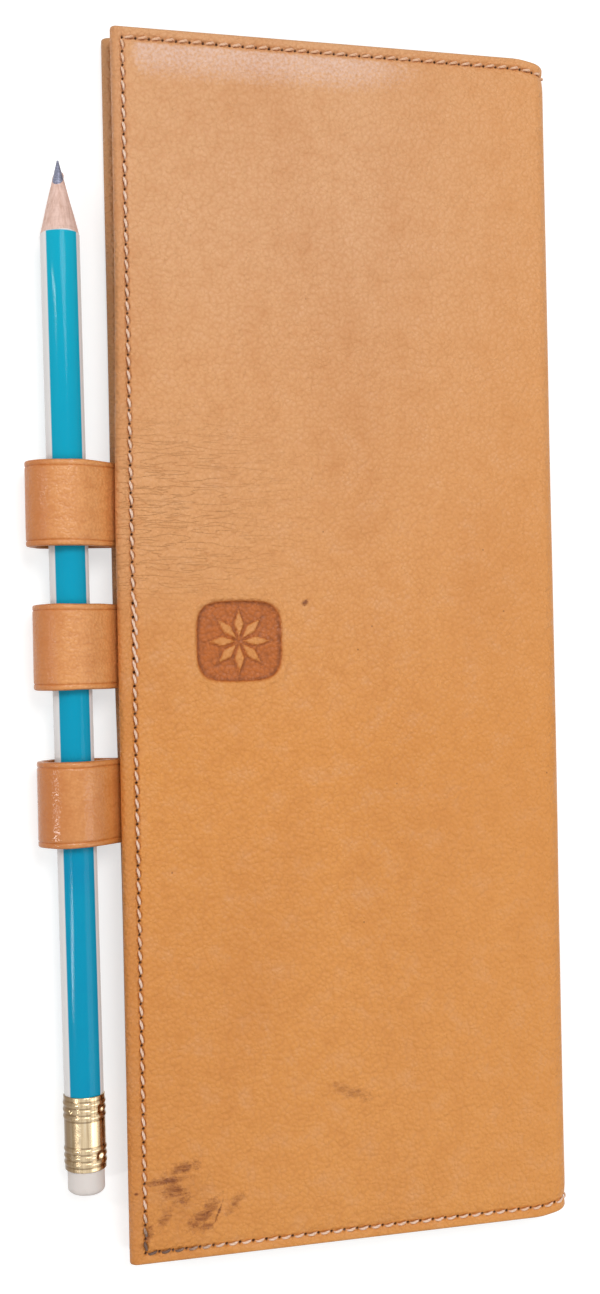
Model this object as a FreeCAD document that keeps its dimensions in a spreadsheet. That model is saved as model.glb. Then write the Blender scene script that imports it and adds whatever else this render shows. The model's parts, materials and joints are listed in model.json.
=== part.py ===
"""Slim leather pen case, closed, with a pencil held in three loops along its opening edge.

Frame, in millimetres: the origin lies under the middle of the back cover, on the face the case rests on.
X runs across the case from the opening edge (-X) to the spine (+X), Y runs along it towards the
pencil's point, and Z is up. The back cover lies below, the front cover above, and the spine joins them.
"""

import FreeCAD
import Part
import Sketcher

import math
import os

# Every size that can be set by itself, in millimetres unless its line says otherwise.
SIZES = {
    # Closed case and the layers of a cover
    "case_length": 225.0,
    "case_width": 86.0,
    "leather_thick": 1.4,
    "board_thick": 0.8,
    "lining_thick": 0.6,
    "layer_clearance": 0.5,
    # Rounded folds beside the spine, outer radius and the slit that lets them turn
    "fold_radius": 3.0,
    "fold_gap": 0.25,
    # Hem: leather turned over the opening edge, its solid bend and its reach inside
    "hem_bend": 1.8,
    "hem_depth": 10.0,
    # Lining and stiffening board, measured in from the cut edges and from the fold
    "lining_inset": 0.3,
    "board_margin": 5.0,
    "board_fold_gap": 1.5,
    # Lockstitched seams, sunk in a groove round three sides of each cover
    "seam_inset_side": 2.8,
    "seam_inset_end": 2.0,
    "stitch_pitch": 2.5,
    "stitch_hole": 0.6,
    "thread_width": 0.7,
    "thread_height": 0.3,
    "groove_width": 1.0,
    "groove_depth": 0.35,
    # Debossed badge on the front cover, left bare
    "badge_side": 15.0,
    "badge_corner": 2.0,
    "badge_depth": 0.4,
    "badge_x": -20.0,
    "badge_y": 0.0,
    # Strap loops: leather, width, length sewn under the cover, and room round the pencil
    "strap_thick": 1.2,
    "loop_width": 15.5,
    "loop_root": 11.0,
    "root_seam_inset": 1.6,
    "pencil_clearance": 0.3,
    "loop_headroom": 0.9,
    "loop_upper_y": 25.7,
    "loop_middle_y": -0.2,
    "loop_lower_y": -28.5,
    "loop_upper_slack": 2.3,
    "loop_middle_slack": 1.6,
    "loop_lower_slack": 1.6,
    # Flat pen sleeves on the back lining and slip pocket on the front lining
    "panel_thick": 1.0,
    "panel_seam": 3.0,
    "channel_depth": 0.4,
    "panel_stitch_pitch": 4.0,
    "panel_fold_margin": 8.0,
    "panel_end_margin": 7.5,
    "sleeve_hem_margin": 14.0,
    "sleeve_length": 165.0,
    "pocket_hem_margin": 13.0,
    "pocket_length": 125.0,
    # Pencil: offset of its axis from the opening edge at mid length, and its lean in degrees
    "pencil_offset": 8.15,
    "pencil_lean": 0.49,
    "pencil_tip_y": 88.3,
    "pencil_length": 187.7,
    "pencil_diameter": 7.2,
    "point_length": 13.6,
    "lead_diameter": 2.4,
    "lead_tip_diameter": 0.5,
    "lead_glue": 0.03,
    "ferrule_length": 13.5,
    "ferrule_diameter": 7.5,
    "ferrule_wall": 0.35,
    "crimp_height": 0.15,
    "crimp_width": 0.8,
    "crimp_pitch": 1.2,
    "crimp_margin": 1.4,
    "tenon_length": 6.0,
    "eraser_reach": 4.6,
    "eraser_round": 0.9,
    "eraser_fit": 0.05,
}

SLEEVES = 3
CRIMPS_PER_BAND = 3
DIAGONAL = math.sqrt(0.5)
SKETCH_ORIGIN = -1

doc = FreeCAD.newDocument("PenCase")
sheet = doc.addObject("Spreadsheet::Sheet", "Sizes")
for row, (alias, value) in enumerate(SIZES.items(), start=1):
    sheet.set(f"A{row}", alias)
    sheet.set(f"B{row}", str(value))
    sheet.setAlias(f"B{row}", alias)
doc.recompute()


class Size:
    """A number together with the sheet formula that gives it, so that one sum writes both."""

    def __init__(self, number, formula):
        self.number = number
        self.formula = formula

    def __add__(self, other):
        other = as_size(other)
        return Size(self.number + other.number, f"({self.formula} + {other.formula})")

    def __sub__(self, other):
        other = as_size(other)
        return Size(self.number - other.number, f"({self.formula} - {other.formula})")

    def __mul__(self, other):
        other = as_size(other)
        return Size(self.number * other.number, f"({self.formula} * {other.formula})")

    def __truediv__(self, other):
        other = as_size(other)
        return Size(self.number / other.number, f"({self.formula} / {other.formula})")

    def __neg__(self):
        return Size(-self.number, f"(0 - {self.formula})")

    def root(self):
        return Size(math.sqrt(self.number), f"sqrt({self.formula})")


def as_size(value):
    """A plain number as a Size."""
    if isinstance(value, Size):
        return value
    return Size(float(value), repr(float(value)))


def size(alias):
    """The Size of one cell of the sheet."""
    return Size(SIZES[alias], f"{sheet.Name}.{alias}")


# Places worked out from the sheet and shared by several pieces
ZERO = as_size(0)
half_width = size("case_width") / 2
half_length = size("case_length") / 2
opening_edge = -half_width
cover_thick = size("leather_thick") + size("board_thick") + size("lining_thick")
root_thick = size("strap_thick") * 2
inner_gap = root_thick + size("thread_height") + size("layer_clearance")
case_thick = cover_thick * 2 + inner_gap
fold_start = half_width - size("fold_radius")
seam_x = opening_edge + size("seam_inset_side")
seam_y = half_length - size("seam_inset_end")
board_left = opening_edge + size("hem_depth") + size("lining_inset") + size("lining_thick")
board_right = fold_start - size("board_fold_gap")
board_end = half_length - size("board_margin")
panel_right = half_width - size("panel_fold_margin")
panel_bottom = size("panel_end_margin") - half_length
pencil_radius = size("pencil_diameter") / 2
pencil_height = size("strap_thick") + size("pencil_clearance") + pencil_radius
lean_slope = Size(math.tan(math.radians(SIZES["pencil_lean"])), f"tan({sheet.Name}.pencil_lean * 1 deg)")


def numbers(corner):
    """A sketch corner as a vector."""
    return FreeCAD.Vector(corner[0].number, corner[1].number, 0)


def new_body(node):
    """An empty body that bears its node's name."""
    body = doc.addObject("PartDesign::Body", node)
    body.Label = node
    return body


def fix_point(sketch, direction, edge, point, distance):
    """Hold one point of an edge at a distance from the sketch's origin."""
    constraint = Sketcher.Constraint(direction, SKETCH_ORIGIN, 1, edge, point, distance.number)
    index = sketch.addConstraint(constraint)
    sketch.setExpression(f"Constraints[{index}]", distance.formula)


def angle_about(centre, point):
    """Direction from a centre to a point, in radians."""
    return math.atan2(point.y - centre.y, point.x - centre.x)


def add_outline(sketch, corners):
    """Add a closed outline of lines and arcs, with every corner bound to the sheet.

    A corner is (across, up). A third entry (centre across, centre up, turn) makes the edge that leaves
    the corner an arc about that centre, anticlockwise where turn is 1 and clockwise where it is -1.
    """
    first = sketch.GeometryCount
    edges = []
    ends = []
    for corner, following in zip(corners, corners[1:] + corners[:1]):
        start = numbers(corner)
        end = numbers(following)
        if len(corner) == 2:
            edges.append(Part.LineSegment(start, end))
            ends.append((1, 2))
            continue
        centre = numbers(corner[2])
        anticlockwise = corner[2][2] > 0
        begin, finish = (start, end) if anticlockwise else (end, start)
        circle = Part.Circle(centre, FreeCAD.Vector(0, 0, 1), (start - centre).Length)
        edges.append(Part.ArcOfCircle(circle, angle_about(centre, begin), angle_about(centre, finish)))
        ends.append((1, 2) if anticlockwise else (2, 1))
    sketch.addGeometry(edges, False)
    for index, corner in enumerate(corners):
        edge = first + index
        following = (index + 1) % len(corners)
        join = Sketcher.Constraint("Coincident", edge, ends[index][1], first + following, ends[following][0])
        sketch.addConstraint(join)
        fix_point(sketch, "DistanceX", edge, ends[index][0], corner[0])
        fix_point(sketch, "DistanceY", edge, ends[index][0], corner[1])
        if len(corner) == 3:
            chord = numbers(corners[following]) - numbers(corner)
            upright = abs(chord.y) > abs(chord.x)
            direction = "DistanceX" if upright else "DistanceY"
            fix_point(sketch, direction, edge, 3, corner[2][0] if upright else corner[2][1])


def draw(body, name, plane, outlines, lift=ZERO):
    """Sketch closed outlines on one of the body's own planes, lifted off it where asked."""
    sketch = body.newObject("Sketcher::SketchObject", name)
    support = next(item for item in body.Origin.OriginFeatures if item.Role == plane)
    sketch.AttachmentSupport = [(support, "")]
    sketch.MapMode = "FlatFace"
    sketch.setExpression("AttachmentOffset.Base.z", lift.formula)
    for outline in outlines:
        add_outline(sketch, outline)
    return sketch


def rectangle(left, right, low, high):
    """Outline of an upright rectangle."""
    return [(left, low), (right, low), (right, high), (left, high)]


def pad(body, sketch, length, symmetric=False):
    """Raise a sketch into a solid, upwards or to both sides of its plane."""
    feature = body.newObject("PartDesign::Pad", f"{sketch.Name}_pad")
    feature.Profile = sketch
    feature.SideType = "Symmetric" if symmetric else "One side"
    feature.setExpression("Length", length.formula)
    return feature


def pocket(body, sketch, depth, upwards):
    """Cut a sketch into the body, and make sure that it took material away."""
    doc.recompute()
    before = body.Shape.Volume
    feature = body.newObject("PartDesign::Pocket", f"{sketch.Name}_pocket")
    feature.Profile = sketch
    feature.Reversed = upwards
    feature.setExpression("Length", depth.formula)
    doc.recompute()
    if body.Shape.Volume >= before:
        raise RuntimeError(f"{feature.Name} cuts nothing")
    return feature


def revolve(body, sketch):
    """Turn a half section about the sketch's upright axis."""
    feature = body.newObject("PartDesign::Revolution", f"{sketch.Name}_turned")
    feature.Profile = sketch
    feature.ReferenceAxis = (sketch, ["V_Axis"])
    return feature


def place(item, across, along, height):
    """Set where an object's own origin lies."""
    item.setExpression("Placement.Base.x", across.formula)
    item.setExpression("Placement.Base.y", along.formula)
    item.setExpression("Placement.Base.z", height.formula)


def block(name, low, high):
    """A plain block between two corners."""
    item = doc.addObject("Part::Box", name)
    item.setExpression("Length", (high[0] - low[0]).formula)
    item.setExpression("Width", (high[1] - low[1]).formula)
    item.setExpression("Height", (high[2] - low[2]).formula)
    place(item, *low)
    return item


def in_cover(front, low, high):
    """Heights of a layer, given from its cover's outer face inwards."""
    if front:
        return case_thick - high, case_thick - low
    return low, high


def mitre(radius, to_spine):
    """Corner of the slit through the lower fold at a radius, on the cover's or the spine's side of it."""
    slit = size("fold_gap") / 2
    reach = (radius * radius - slit * slit).root()
    aside = slit if to_spine else -slit
    across = fold_start + (reach + aside) * DIAGONAL
    up = size("fold_radius") - (reach - aside) * DIAGONAL
    return across, up


def cover_leather(node, front):
    """Outer leather of a cover: a flat sheet, a turned hem at the opening edge and half a fold."""
    body = new_body(node)
    leather = size("leather_thick")
    hem_round = cover_thick / 2
    bend = opening_edge + hem_round
    slot = opening_edge + size("hem_bend")
    flap = opening_edge + size("hem_depth")
    flap_floor = leather + size("lining_thick")
    fold_centre = (fold_start, size("fold_radius"))
    section = [
        (bend, ZERO),
        (fold_start, ZERO, (*fold_centre, 1)),
        mitre(size("fold_radius"), to_spine=False),
        (*mitre(size("fold_radius") - leather, to_spine=False), (*fold_centre, -1)),
        (fold_start, leather),
        (slot, leather),
        (slot, flap_floor),
        (flap, flap_floor),
        (flap, cover_thick),
        (bend, cover_thick, (bend, hem_round, 1)),
    ]
    pad(body, draw(body, f"{node}_section", "XZ_Plane", [section]), size("case_length"), symmetric=True)
    groove = draw(body, f"{node}_groove", "XY_Plane", [seam_groove()])
    pocket(body, groove, size("groove_depth"), upwards=True)
    if front:
        recess = draw(body, f"{node}_badge", "XY_Plane", [badge_outline()])
        pocket(body, recess, size("badge_depth"), upwards=True)
        turned_over = FreeCAD.Rotation(FreeCAD.Vector(1, 0, 0), 180)
        body.Placement = FreeCAD.Placement(FreeCAD.Vector(), turned_over)
        place(body, ZERO, ZERO, case_thick)
    return body


def seam_groove():
    """Outline of the stitching groove along the opening edge and both ends of a cover."""
    half = size("groove_width") / 2
    outer_x = seam_x - half
    inner_x = seam_x + half
    outer_y = seam_y + half
    inner_y = seam_y - half
    return [
        (fold_start, outer_y),
        (outer_x, outer_y),
        (outer_x, -outer_y),
        (fold_start, -outer_y),
        (fold_start, -inner_y),
        (inner_x, -inner_y),
        (inner_x, inner_y),
        (fold_start, inner_y),
    ]


def badge_outline():
    """Rounded square of the badge, drawn on the outer face of a cover that is turned over."""
    half = size("badge_side") / 2
    corner = size("badge_corner")
    left = size("badge_x") - half
    right = size("badge_x") + half
    low = -size("badge_y") - half
    high = -size("badge_y") + half
    return [
        (left + corner, low),
        (right - corner, low, (right - corner, low + corner, 1)),
        (right, low + corner),
        (right, high - corner, (right - corner, high - corner, 1)),
        (right - corner, high),
        (left + corner, high, (left + corner, high - corner, 1)),
        (left, high - corner),
        (left, low + corner, (left + corner, low + corner, 1)),
    ]


def cover_board(node, front):
    """Stiffening board between the leather and the lining."""
    leather = size("leather_thick")
    low, high = in_cover(front, leather, leather + size("board_thick"))
    return block(node, (board_left, -board_end, low), (board_right, board_end, high))


def cover_lining(node, front, board):
    """Lining pressed down round the board, with its left margin tucked under the hem."""
    leather = size("leather_thick")
    lining = size("lining_thick")
    inset = size("lining_inset")
    low, high = in_cover(front, leather, leather + lining)
    margin_left = opening_edge + size("hem_bend") + inset
    margin_end = half_length - inset
    margin = block(f"{node}_margin", (margin_left, -margin_end, low), (fold_start, margin_end, high))
    low, high = in_cover(front, leather, cover_thick)
    raised_end = board_end + lining
    raised_low = (board_left - lining, -raised_end, low)
    raised = block(f"{node}_raised", raised_low, (board_right + lining, raised_end, high))
    sheet_over_board = doc.addObject("Part::Fuse", f"{node}_sheet")
    sheet_over_board.Base = margin
    sheet_over_board.Tool = raised
    hollowed = doc.addObject("Part::Cut", node)
    hollowed.Base = sheet_over_board
    hollowed.Tool = board
    return hollowed


def spine_strip(node, inset, thick, length):
    """A strip that goes round the spine between the two fold slits, inset from the outer face."""
    body = new_body(node)
    outer = size("fold_radius") - inset
    inner = outer - thick
    low_centre = (fold_start, size("fold_radius"))
    high_centre = (fold_start, case_thick - size("fold_radius"))
    low_outer = mitre(outer, to_spine=True)
    low_inner = mitre(inner, to_spine=True)
    section = [
        (*low_outer, (*low_centre, 1)),
        (fold_start + outer, low_centre[1]),
        (fold_start + outer, high_centre[1], (*high_centre, 1)),
        (low_outer[0], case_thick - low_outer[1]),
        (low_inner[0], case_thick - low_inner[1], (*high_centre, -1)),
        (fold_start + inner, high_centre[1]),
        (fold_start + inner, low_centre[1], (*low_centre, -1)),
        low_inner,
    ]
    pad(body, draw(body, f"{node}_section", "XZ_Plane", [section]), length, symmetric=True)
    return body


def spine_leather(node):
    """Outer leather of the spine, with a groove for the stitches that cross it at each end."""
    body = spine_strip(node, ZERO, size("leather_thick"), size("case_length"))
    half = size("groove_width") / 2
    low = size("fold_radius")
    high = case_thick - size("fold_radius")
    ends = [rectangle(end - half, end + half, low, high) for end in (-seam_y, seam_y)]
    groove = draw(body, f"{node}_groove", "YZ_Plane", ends, lift=half_width)
    pocket(body, groove, size("groove_depth"), upwards=False)
    return body


def tangent_point(outside, centre, radius, side):
    """Where a line from an outside point touches a circle, on its left (1) or right (-1) hand."""
    across = centre[0] - outside[0]
    up = centre[1] - outside[1]
    far = across * across + up * up
    run = far - radius * radius
    turn = radius * run.root() * side
    return (
        outside[0] + (run * across - turn * up) / far,
        outside[1] + (run * up + turn * across) / far,
    )


def inner_faces(centre, low_touch, high_touch, outer, inner):
    """Inner faces of the two straps: where each touches the inner circle, and where the two meet."""
    low = ((low_touch[0] - centre[0]) / outer, (low_touch[1] - centre[1]) / outer)
    high = ((high_touch[0] - centre[0]) / outer, (high_touch[1] - centre[1]) / outer)
    spread = low[0] * high[0] + low[1] * high[1] + 1
    inner_low = (centre[0] + low[0] * inner, centre[1] + low[1] * inner)
    inner_high = (centre[0] + high[0] * inner, centre[1] + high[1] * inner)
    crotch = (
        centre[0] + (low[0] + high[0]) * inner / spread,
        centre[1] + (low[1] + high[1]) * inner / spread,
    )
    return inner_low, inner_high, crotch


def strap_loop(node, along, slack):
    """A leather strap folded round the pencil, its two ends sewn together between the covers."""
    body = new_body(node)
    strap = size("strap_thick")
    outer = (root_thick + size("pencil_diameter") + size("pencil_clearance") + size("loop_headroom")) / 2
    inner = outer - strap
    near = (opening_edge - size("pencil_offset") - lean_slope * along, outer)
    far = (near[0] - slack, outer)
    root_end = opening_edge + size("loop_root")
    neck_low = (opening_edge, cover_thick)
    neck_high = (opening_edge, cover_thick + root_thick)
    low_touch = tangent_point(neck_low, near, outer, 1)
    high_touch = tangent_point(neck_high, near, outer, -1)
    inner_low, inner_high, crotch = inner_faces(near, low_touch, high_touch, outer, inner)
    outside = [
        (root_end, neck_high[1]),
        neck_high,
        (*high_touch, (*near, 1)),
        (near[0], outer * 2),
        (far[0], outer * 2, (*far, 1)),
        (far[0], ZERO),
        (near[0], ZERO, (*near, 1)),
        low_touch,
        neck_low,
        (root_end, neck_low[1]),
    ]
    inside = [
        crotch,
        (*inner_high, (*near, 1)),
        (near[0], outer + inner),
        (far[0], outer + inner, (*far, 1)),
        (far[0], strap),
        (near[0], strap, (*near, 1)),
        inner_low,
    ]
    section = draw(body, f"{node}_section", "XZ_Plane", [outside, inside])
    pad(body, section, size("loop_width"), symmetric=True)
    place(body, ZERO, along, ZERO)
    return body


def sewn_panel(node, left, length, channels, front):
    """A leather panel sewn to a lining along three sides, with flat channels that open at its top."""
    body = new_body(node)
    seam = size("panel_seam")
    bottom = panel_bottom
    top = panel_bottom + length
    if front:
        turned_over = FreeCAD.Rotation(FreeCAD.Vector(1, 0, 0), 180)
        body.Placement = FreeCAD.Placement(FreeCAD.Vector(), turned_over)
        place(body, ZERO, ZERO, case_thick - cover_thick)
        bottom, top = -top, -bottom
    else:
        place(body, ZERO, ZERO, cover_thick)
    outline = rectangle(left, panel_right, bottom, top)
    pad(body, draw(body, f"{node}_outline", "XY_Plane", [outline]), size("panel_thick"))
    pitch = (panel_right - left - seam) / channels
    closed_end, open_end = (bottom, top - seam) if front else (bottom + seam, top)
    channel = rectangle(left + seam, left + pitch, closed_end, open_end)
    first = pocket(
        body,
        draw(body, f"{node}_channel", "XY_Plane", [channel]),
        size("channel_depth"),
        upwards=True,
    )
    if channels > 1:
        pattern = body.newObject("PartDesign::LinearPattern", f"{node}_channels")
        pattern.Originals = [first]
        pattern.Direction = (first.Profile[0], ["H_Axis"])
        pattern.Occurrences = channels
        pattern.setExpression("Length", (pitch * (channels - 1)).formula)
        body.Tip = pattern
    return body


def stitch_bar(length):
    """One stitch along +X: thread pulled flat on its underside and rounded on top."""
    half = SIZES["thread_width"] / 2
    left = FreeCAD.Vector(0, -half, 0)
    right = FreeCAD.Vector(0, half, 0)
    crown = FreeCAD.Vector(0, 0, SIZES["thread_height"])
    section = Part.Wire([Part.Arc(left, crown, right).toShape(), Part.LineSegment(right, left).toShape()])
    return Part.Face(section).extrude(FreeCAD.Vector(length, 0, 0))


def stitch_run(start, end, outward, pitch):
    """Stitches laid end to end along a straight run, with a needle hole between each two."""
    begin = FreeCAD.Vector(*[part.number for part in start])
    run = FreeCAD.Vector(*[part.number for part in end]) - begin
    count = max(1, round(run.Length / pitch))
    step = run.Length / count
    direction = run.normalize()
    across = FreeCAD.Vector(*outward).cross(direction)
    turn = FreeCAD.Rotation(direction, across, FreeCAD.Vector(*outward), "XYZ")
    hole = SIZES["stitch_hole"]
    bar = stitch_bar(step - hole)
    stitches = []
    for index in range(count):
        stitch = bar.copy()
        stitch.Placement = FreeCAD.Placement(begin + direction * (index * step + hole / 2), turn)
        stitches.append(stitch)
    return stitches


def thread_group(node, runs):
    """All the stitches of one seam as one group of separate solids."""
    item = doc.addObject("Part::Feature", node)
    item.Shape = Part.makeCompound([stitch for run in runs for stitch in run])
    item.Placement = FreeCAD.Placement()
    return item


def cover_seam(node, front):
    """Stitches in the groove of a cover: along the opening edge and both ends."""
    floor = size("groove_depth")
    height = case_thick - floor if front else floor
    outward = (0, 0, 1) if front else (0, 0, -1)
    pitch = SIZES["stitch_pitch"]
    top_corner = (seam_x, seam_y, height)
    low_corner = (seam_x, -seam_y, height)
    return thread_group(node, [
        stitch_run(low_corner, top_corner, outward, pitch),
        stitch_run(top_corner, (fold_start, seam_y, height), outward, pitch),
        stitch_run(low_corner, (fold_start, -seam_y, height), outward, pitch),
    ])


def spine_seam(node):
    """Stitches that cross the spine at its two ends."""
    floor = half_width - size("groove_depth")
    low = size("fold_radius")
    high = case_thick - size("fold_radius")
    pitch = SIZES["stitch_pitch"]
    ends = (-seam_y, seam_y)
    return thread_group(node, [stitch_run((floor, end, low), (floor, end, high), (1, 0, 0), pitch) for end in ends])


def loop_seams(node, places):
    """Two rows of stitches through the doubled root of each loop."""
    height = cover_thick + root_thick
    rows = (seam_x, opening_edge + size("loop_root") - size("root_seam_inset"))
    half = size("loop_width") / 2 - size("root_seam_inset")
    pitch = SIZES["stitch_pitch"]
    return thread_group(node, [
        stitch_run((row, along - half, height), (row, along + half, height), (0, 0, 1), pitch)
        for along in places
        for row in rows
    ])


def panel_seams(node, left, length, channels, front):
    """Stitches between and beside a panel's channels, and along its closed end."""
    middle = size("panel_seam") / 2
    outer = cover_thick + size("panel_thick")
    height = case_thick - outer if front else outer
    outward = (0, 0, -1) if front else (0, 0, 1)
    pitch = SIZES["panel_stitch_pitch"]
    spacing = (panel_right - left - size("panel_seam")) / channels
    low = panel_bottom + middle
    high = panel_bottom + length
    columns = [left + middle + spacing * number for number in range(channels + 1)]
    runs = [stitch_run((column, low, height), (column, high, height), outward, pitch) for column in columns]
    for near, far in zip(columns, columns[1:]):
        runs.append(stitch_run((near, low, height), (far, low, height), outward, pitch))
    return thread_group(node, runs)


def pencil_piece(node, outline):
    """A turned piece of the pencil, its axis along Y and its own origin at the eraser's end."""
    body = new_body(node)
    revolve(body, draw(body, f"{node}_section", "XY_Plane", [outline]))
    leaning = FreeCAD.Rotation(FreeCAD.Vector(0, 0, 1), SIZES["pencil_lean"])
    body.Placement = FreeCAD.Placement(FreeCAD.Vector(), leaning)
    body.setExpression("Placement.Rotation.Angle", f"{sheet.Name}.pencil_lean * 1 deg")
    along = size("pencil_tip_y") - size("pencil_length")
    place(body, opening_edge - size("pencil_offset") - lean_slope * along, along, pencil_height)
    return body


def point_at(radius):
    """How far along the pencil its sharpened cone has a given radius."""
    tip = size("lead_tip_diameter") / 2
    return size("pencil_length") - size("point_length") * (radius - tip) / (pencil_radius - tip)


ferrule_end = size("eraser_reach") + size("ferrule_length")
ferrule_bore = size("ferrule_diameter") / 2 - size("ferrule_wall")
tenon_end = ferrule_end - size("tenon_length")
lead_radius = size("lead_diameter") / 2


def pencil_barrel(node):
    """Round lacquered cedar barrel, sharpened at one end and turned down to a tenon at the other."""
    bore = lead_radius + size("lead_glue")
    tenon = ferrule_bore - size("eraser_fit")
    return pencil_piece(node, [
        (bore, tenon_end),
        (tenon, tenon_end),
        (tenon, ferrule_end),
        (pencil_radius, ferrule_end),
        (pencil_radius, size("pencil_length") - size("point_length")),
        (bore, point_at(bore)),
    ])


def pencil_lead(node):
    """Graphite core, ground to a blunt point with the wood."""
    return pencil_piece(node, [
        (ZERO, tenon_end),
        (lead_radius, tenon_end),
        (lead_radius, point_at(lead_radius)),
        (size("lead_tip_diameter") / 2, size("pencil_length")),
        (ZERO, size("pencil_length")),
    ])


def pencil_ferrule(node):
    """Thin metal ferrule with a band of raised crimp rings at each end."""
    wall = size("ferrule_diameter") / 2
    crest = wall + size("crimp_height")
    half = size("crimp_width") / 2
    outline = [(wall, size("eraser_reach"))]
    last_start = ferrule_end - size("crimp_margin") - size("crimp_pitch") * (CRIMPS_PER_BAND - 1)
    for band_start in (size("eraser_reach") + size("crimp_margin"), last_start):
        for number in range(CRIMPS_PER_BAND):
            middle = band_start + size("crimp_pitch") * number
            outline += [
                (wall, middle - half),
                (crest, middle - half / 2),
                (crest, middle + half / 2),
                (wall, middle + half),
            ]
    outline += [(wall, ferrule_end), (ferrule_bore, ferrule_end), (ferrule_bore, size("eraser_reach"))]
    return pencil_piece(node, outline)


def pencil_eraser(node):
    """Eraser plug, seated against the barrel's tenon and rounded at its free end."""
    radius = ferrule_bore - size("eraser_fit")
    rounding = size("eraser_round")
    return pencil_piece(node, [
        (ZERO, ZERO),
        (radius - rounding, ZERO, (radius - rounding, rounding, 1)),
        (radius, rounding),
        (radius, tenon_end),
        (ZERO, tenon_end),
    ])


def build():
    """Make every sub-part and return them in the order they go together."""
    loop_places = {name: size(f"loop_{name}_y") for name in ("upper", "middle", "lower")}
    sleeve_left = opening_edge + size("sleeve_hem_margin")
    pocket_left = opening_edge + size("pocket_hem_margin")
    back_board = cover_board("back_board", front=False)
    front_board = cover_board("front_board", front=True)
    nodes = [
        cover_leather("back_leather", front=False),
        back_board,
        cover_lining("back_lining", False, back_board),
        cover_seam("back_seam_thread", front=False),
        sewn_panel("pen_sleeve_panel", sleeve_left, size("sleeve_length"), SLEEVES, front=False),
        panel_seams("pen_sleeve_stitches", sleeve_left, size("sleeve_length"), SLEEVES, front=False),
        loop_seams("loop_stitches", loop_places.values()),
        spine_leather("spine_leather"),
        spine_strip(
            "spine_lining",
            size("leather_thick"),
            size("lining_thick"),
            size("case_length") - size("lining_inset") * 2,
        ),
        spine_seam("spine_seam_thread"),
        cover_leather("front_leather", front=True),
        front_board,
        cover_lining("front_lining", True, front_board),
        cover_seam("front_seam_thread", front=True),
        sewn_panel("slip_pocket", pocket_left, size("pocket_length"), 1, front=True),
        panel_seams("slip_pocket_stitches", pocket_left, size("pocket_length"), 1, front=True),
        pencil_barrel("pencil_barrel"),
        pencil_lead("pencil_lead"),
        pencil_ferrule("pencil_ferrule"),
        pencil_eraser("pencil_eraser"),
    ]
    for name, along in loop_places.items():
        nodes.append(strap_loop(f"loop_{name}", along, size(f"loop_{name}_slack")))
    return nodes


def check(nodes):
    """Stop if anything in the document failed or a sub-part's shape is unsound."""
    for item in doc.Objects:
        if "Invalid" in item.State or "Error" in item.State:
            raise RuntimeError(f"{item.Label} failed: {item.State}")
    for node in nodes:
        if node.Shape.isNull() or not node.Shape.isValid() or not node.Shape.Solids:
            raise RuntimeError(f"{node.Label} has no sound solid")


def export(nodes):
    """Write each sub-part to a file that bears its label."""
    os.makedirs("parts", exist_ok=True)
    for node in nodes:
        node.Shape.exportStep(f"parts/{node.Label}.step")
        box = node.Shape.BoundBox
        print(
            f"{node.Label}: {len(node.Shape.Solids)} solids, {node.Shape.Volume:.1f} mm3, "
            f"x {box.XMin:.2f} to {box.XMax:.2f}, y {box.YMin:.2f} to {box.YMax:.2f}, "
            f"z {box.ZMin:.2f} to {box.ZMax:.2f}"
        )


sub_parts = build()
doc.recompute()
check(sub_parts)
export(sub_parts)
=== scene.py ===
"""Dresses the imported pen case: leather covers, linings, strap loops, pen sleeves and a lacquered pencil."""

import json
import math

import bmesh
import bpy
from bpy.props import FloatProperty, FloatVectorProperty, PointerProperty
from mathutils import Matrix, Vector, noise


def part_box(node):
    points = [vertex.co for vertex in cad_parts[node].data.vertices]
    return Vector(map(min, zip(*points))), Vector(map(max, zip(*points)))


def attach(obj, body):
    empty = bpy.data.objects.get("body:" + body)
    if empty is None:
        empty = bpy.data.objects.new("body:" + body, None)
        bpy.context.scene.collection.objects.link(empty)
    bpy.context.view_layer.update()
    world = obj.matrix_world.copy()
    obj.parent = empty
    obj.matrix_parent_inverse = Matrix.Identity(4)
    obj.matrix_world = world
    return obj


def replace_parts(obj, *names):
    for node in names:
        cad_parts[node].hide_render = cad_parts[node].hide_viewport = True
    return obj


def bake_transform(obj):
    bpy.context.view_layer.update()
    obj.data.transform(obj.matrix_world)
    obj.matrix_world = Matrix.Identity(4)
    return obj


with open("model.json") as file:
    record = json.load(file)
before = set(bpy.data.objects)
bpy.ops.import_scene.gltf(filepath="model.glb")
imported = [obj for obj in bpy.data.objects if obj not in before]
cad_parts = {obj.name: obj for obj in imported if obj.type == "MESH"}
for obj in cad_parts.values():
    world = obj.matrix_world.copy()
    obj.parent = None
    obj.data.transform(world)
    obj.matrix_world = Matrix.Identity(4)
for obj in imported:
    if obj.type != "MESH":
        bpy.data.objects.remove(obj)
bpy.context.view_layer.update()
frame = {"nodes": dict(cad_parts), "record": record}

bl_info = {
    "name": "Leather Pen Case",
    "version": (1, 0, 0),
    "blender": (4, 5, 0),
    "location": "3D View > Sidebar > Pen Case",
    "description": "Leather, seams, loops, linings and pencil of a folding pen case",
    "category": "Object",
}

MM = 0.001


def box_mm(node):
    """Lowest and highest corner of a CAD node at rest, in millimetres."""
    low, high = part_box(node)
    return Vector(low) / MM, Vector(high) / MM


# Sizes are in millimetres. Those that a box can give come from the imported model.
COVER_LOW, COVER_HIGH = box_mm("front_leather")
HALF_LENGTH = COVER_HIGH.y
THICK = COVER_HIGH.z
OPENING_X = COVER_LOW.x
HALF_WIDTH = -OPENING_X
JOINTS = {joint["name"]: joint for joint in frame["record"]["behaviour"]["joints"]}
# Stations along a mesh keep at least this distance.
CLOSEST = 0.07

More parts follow.
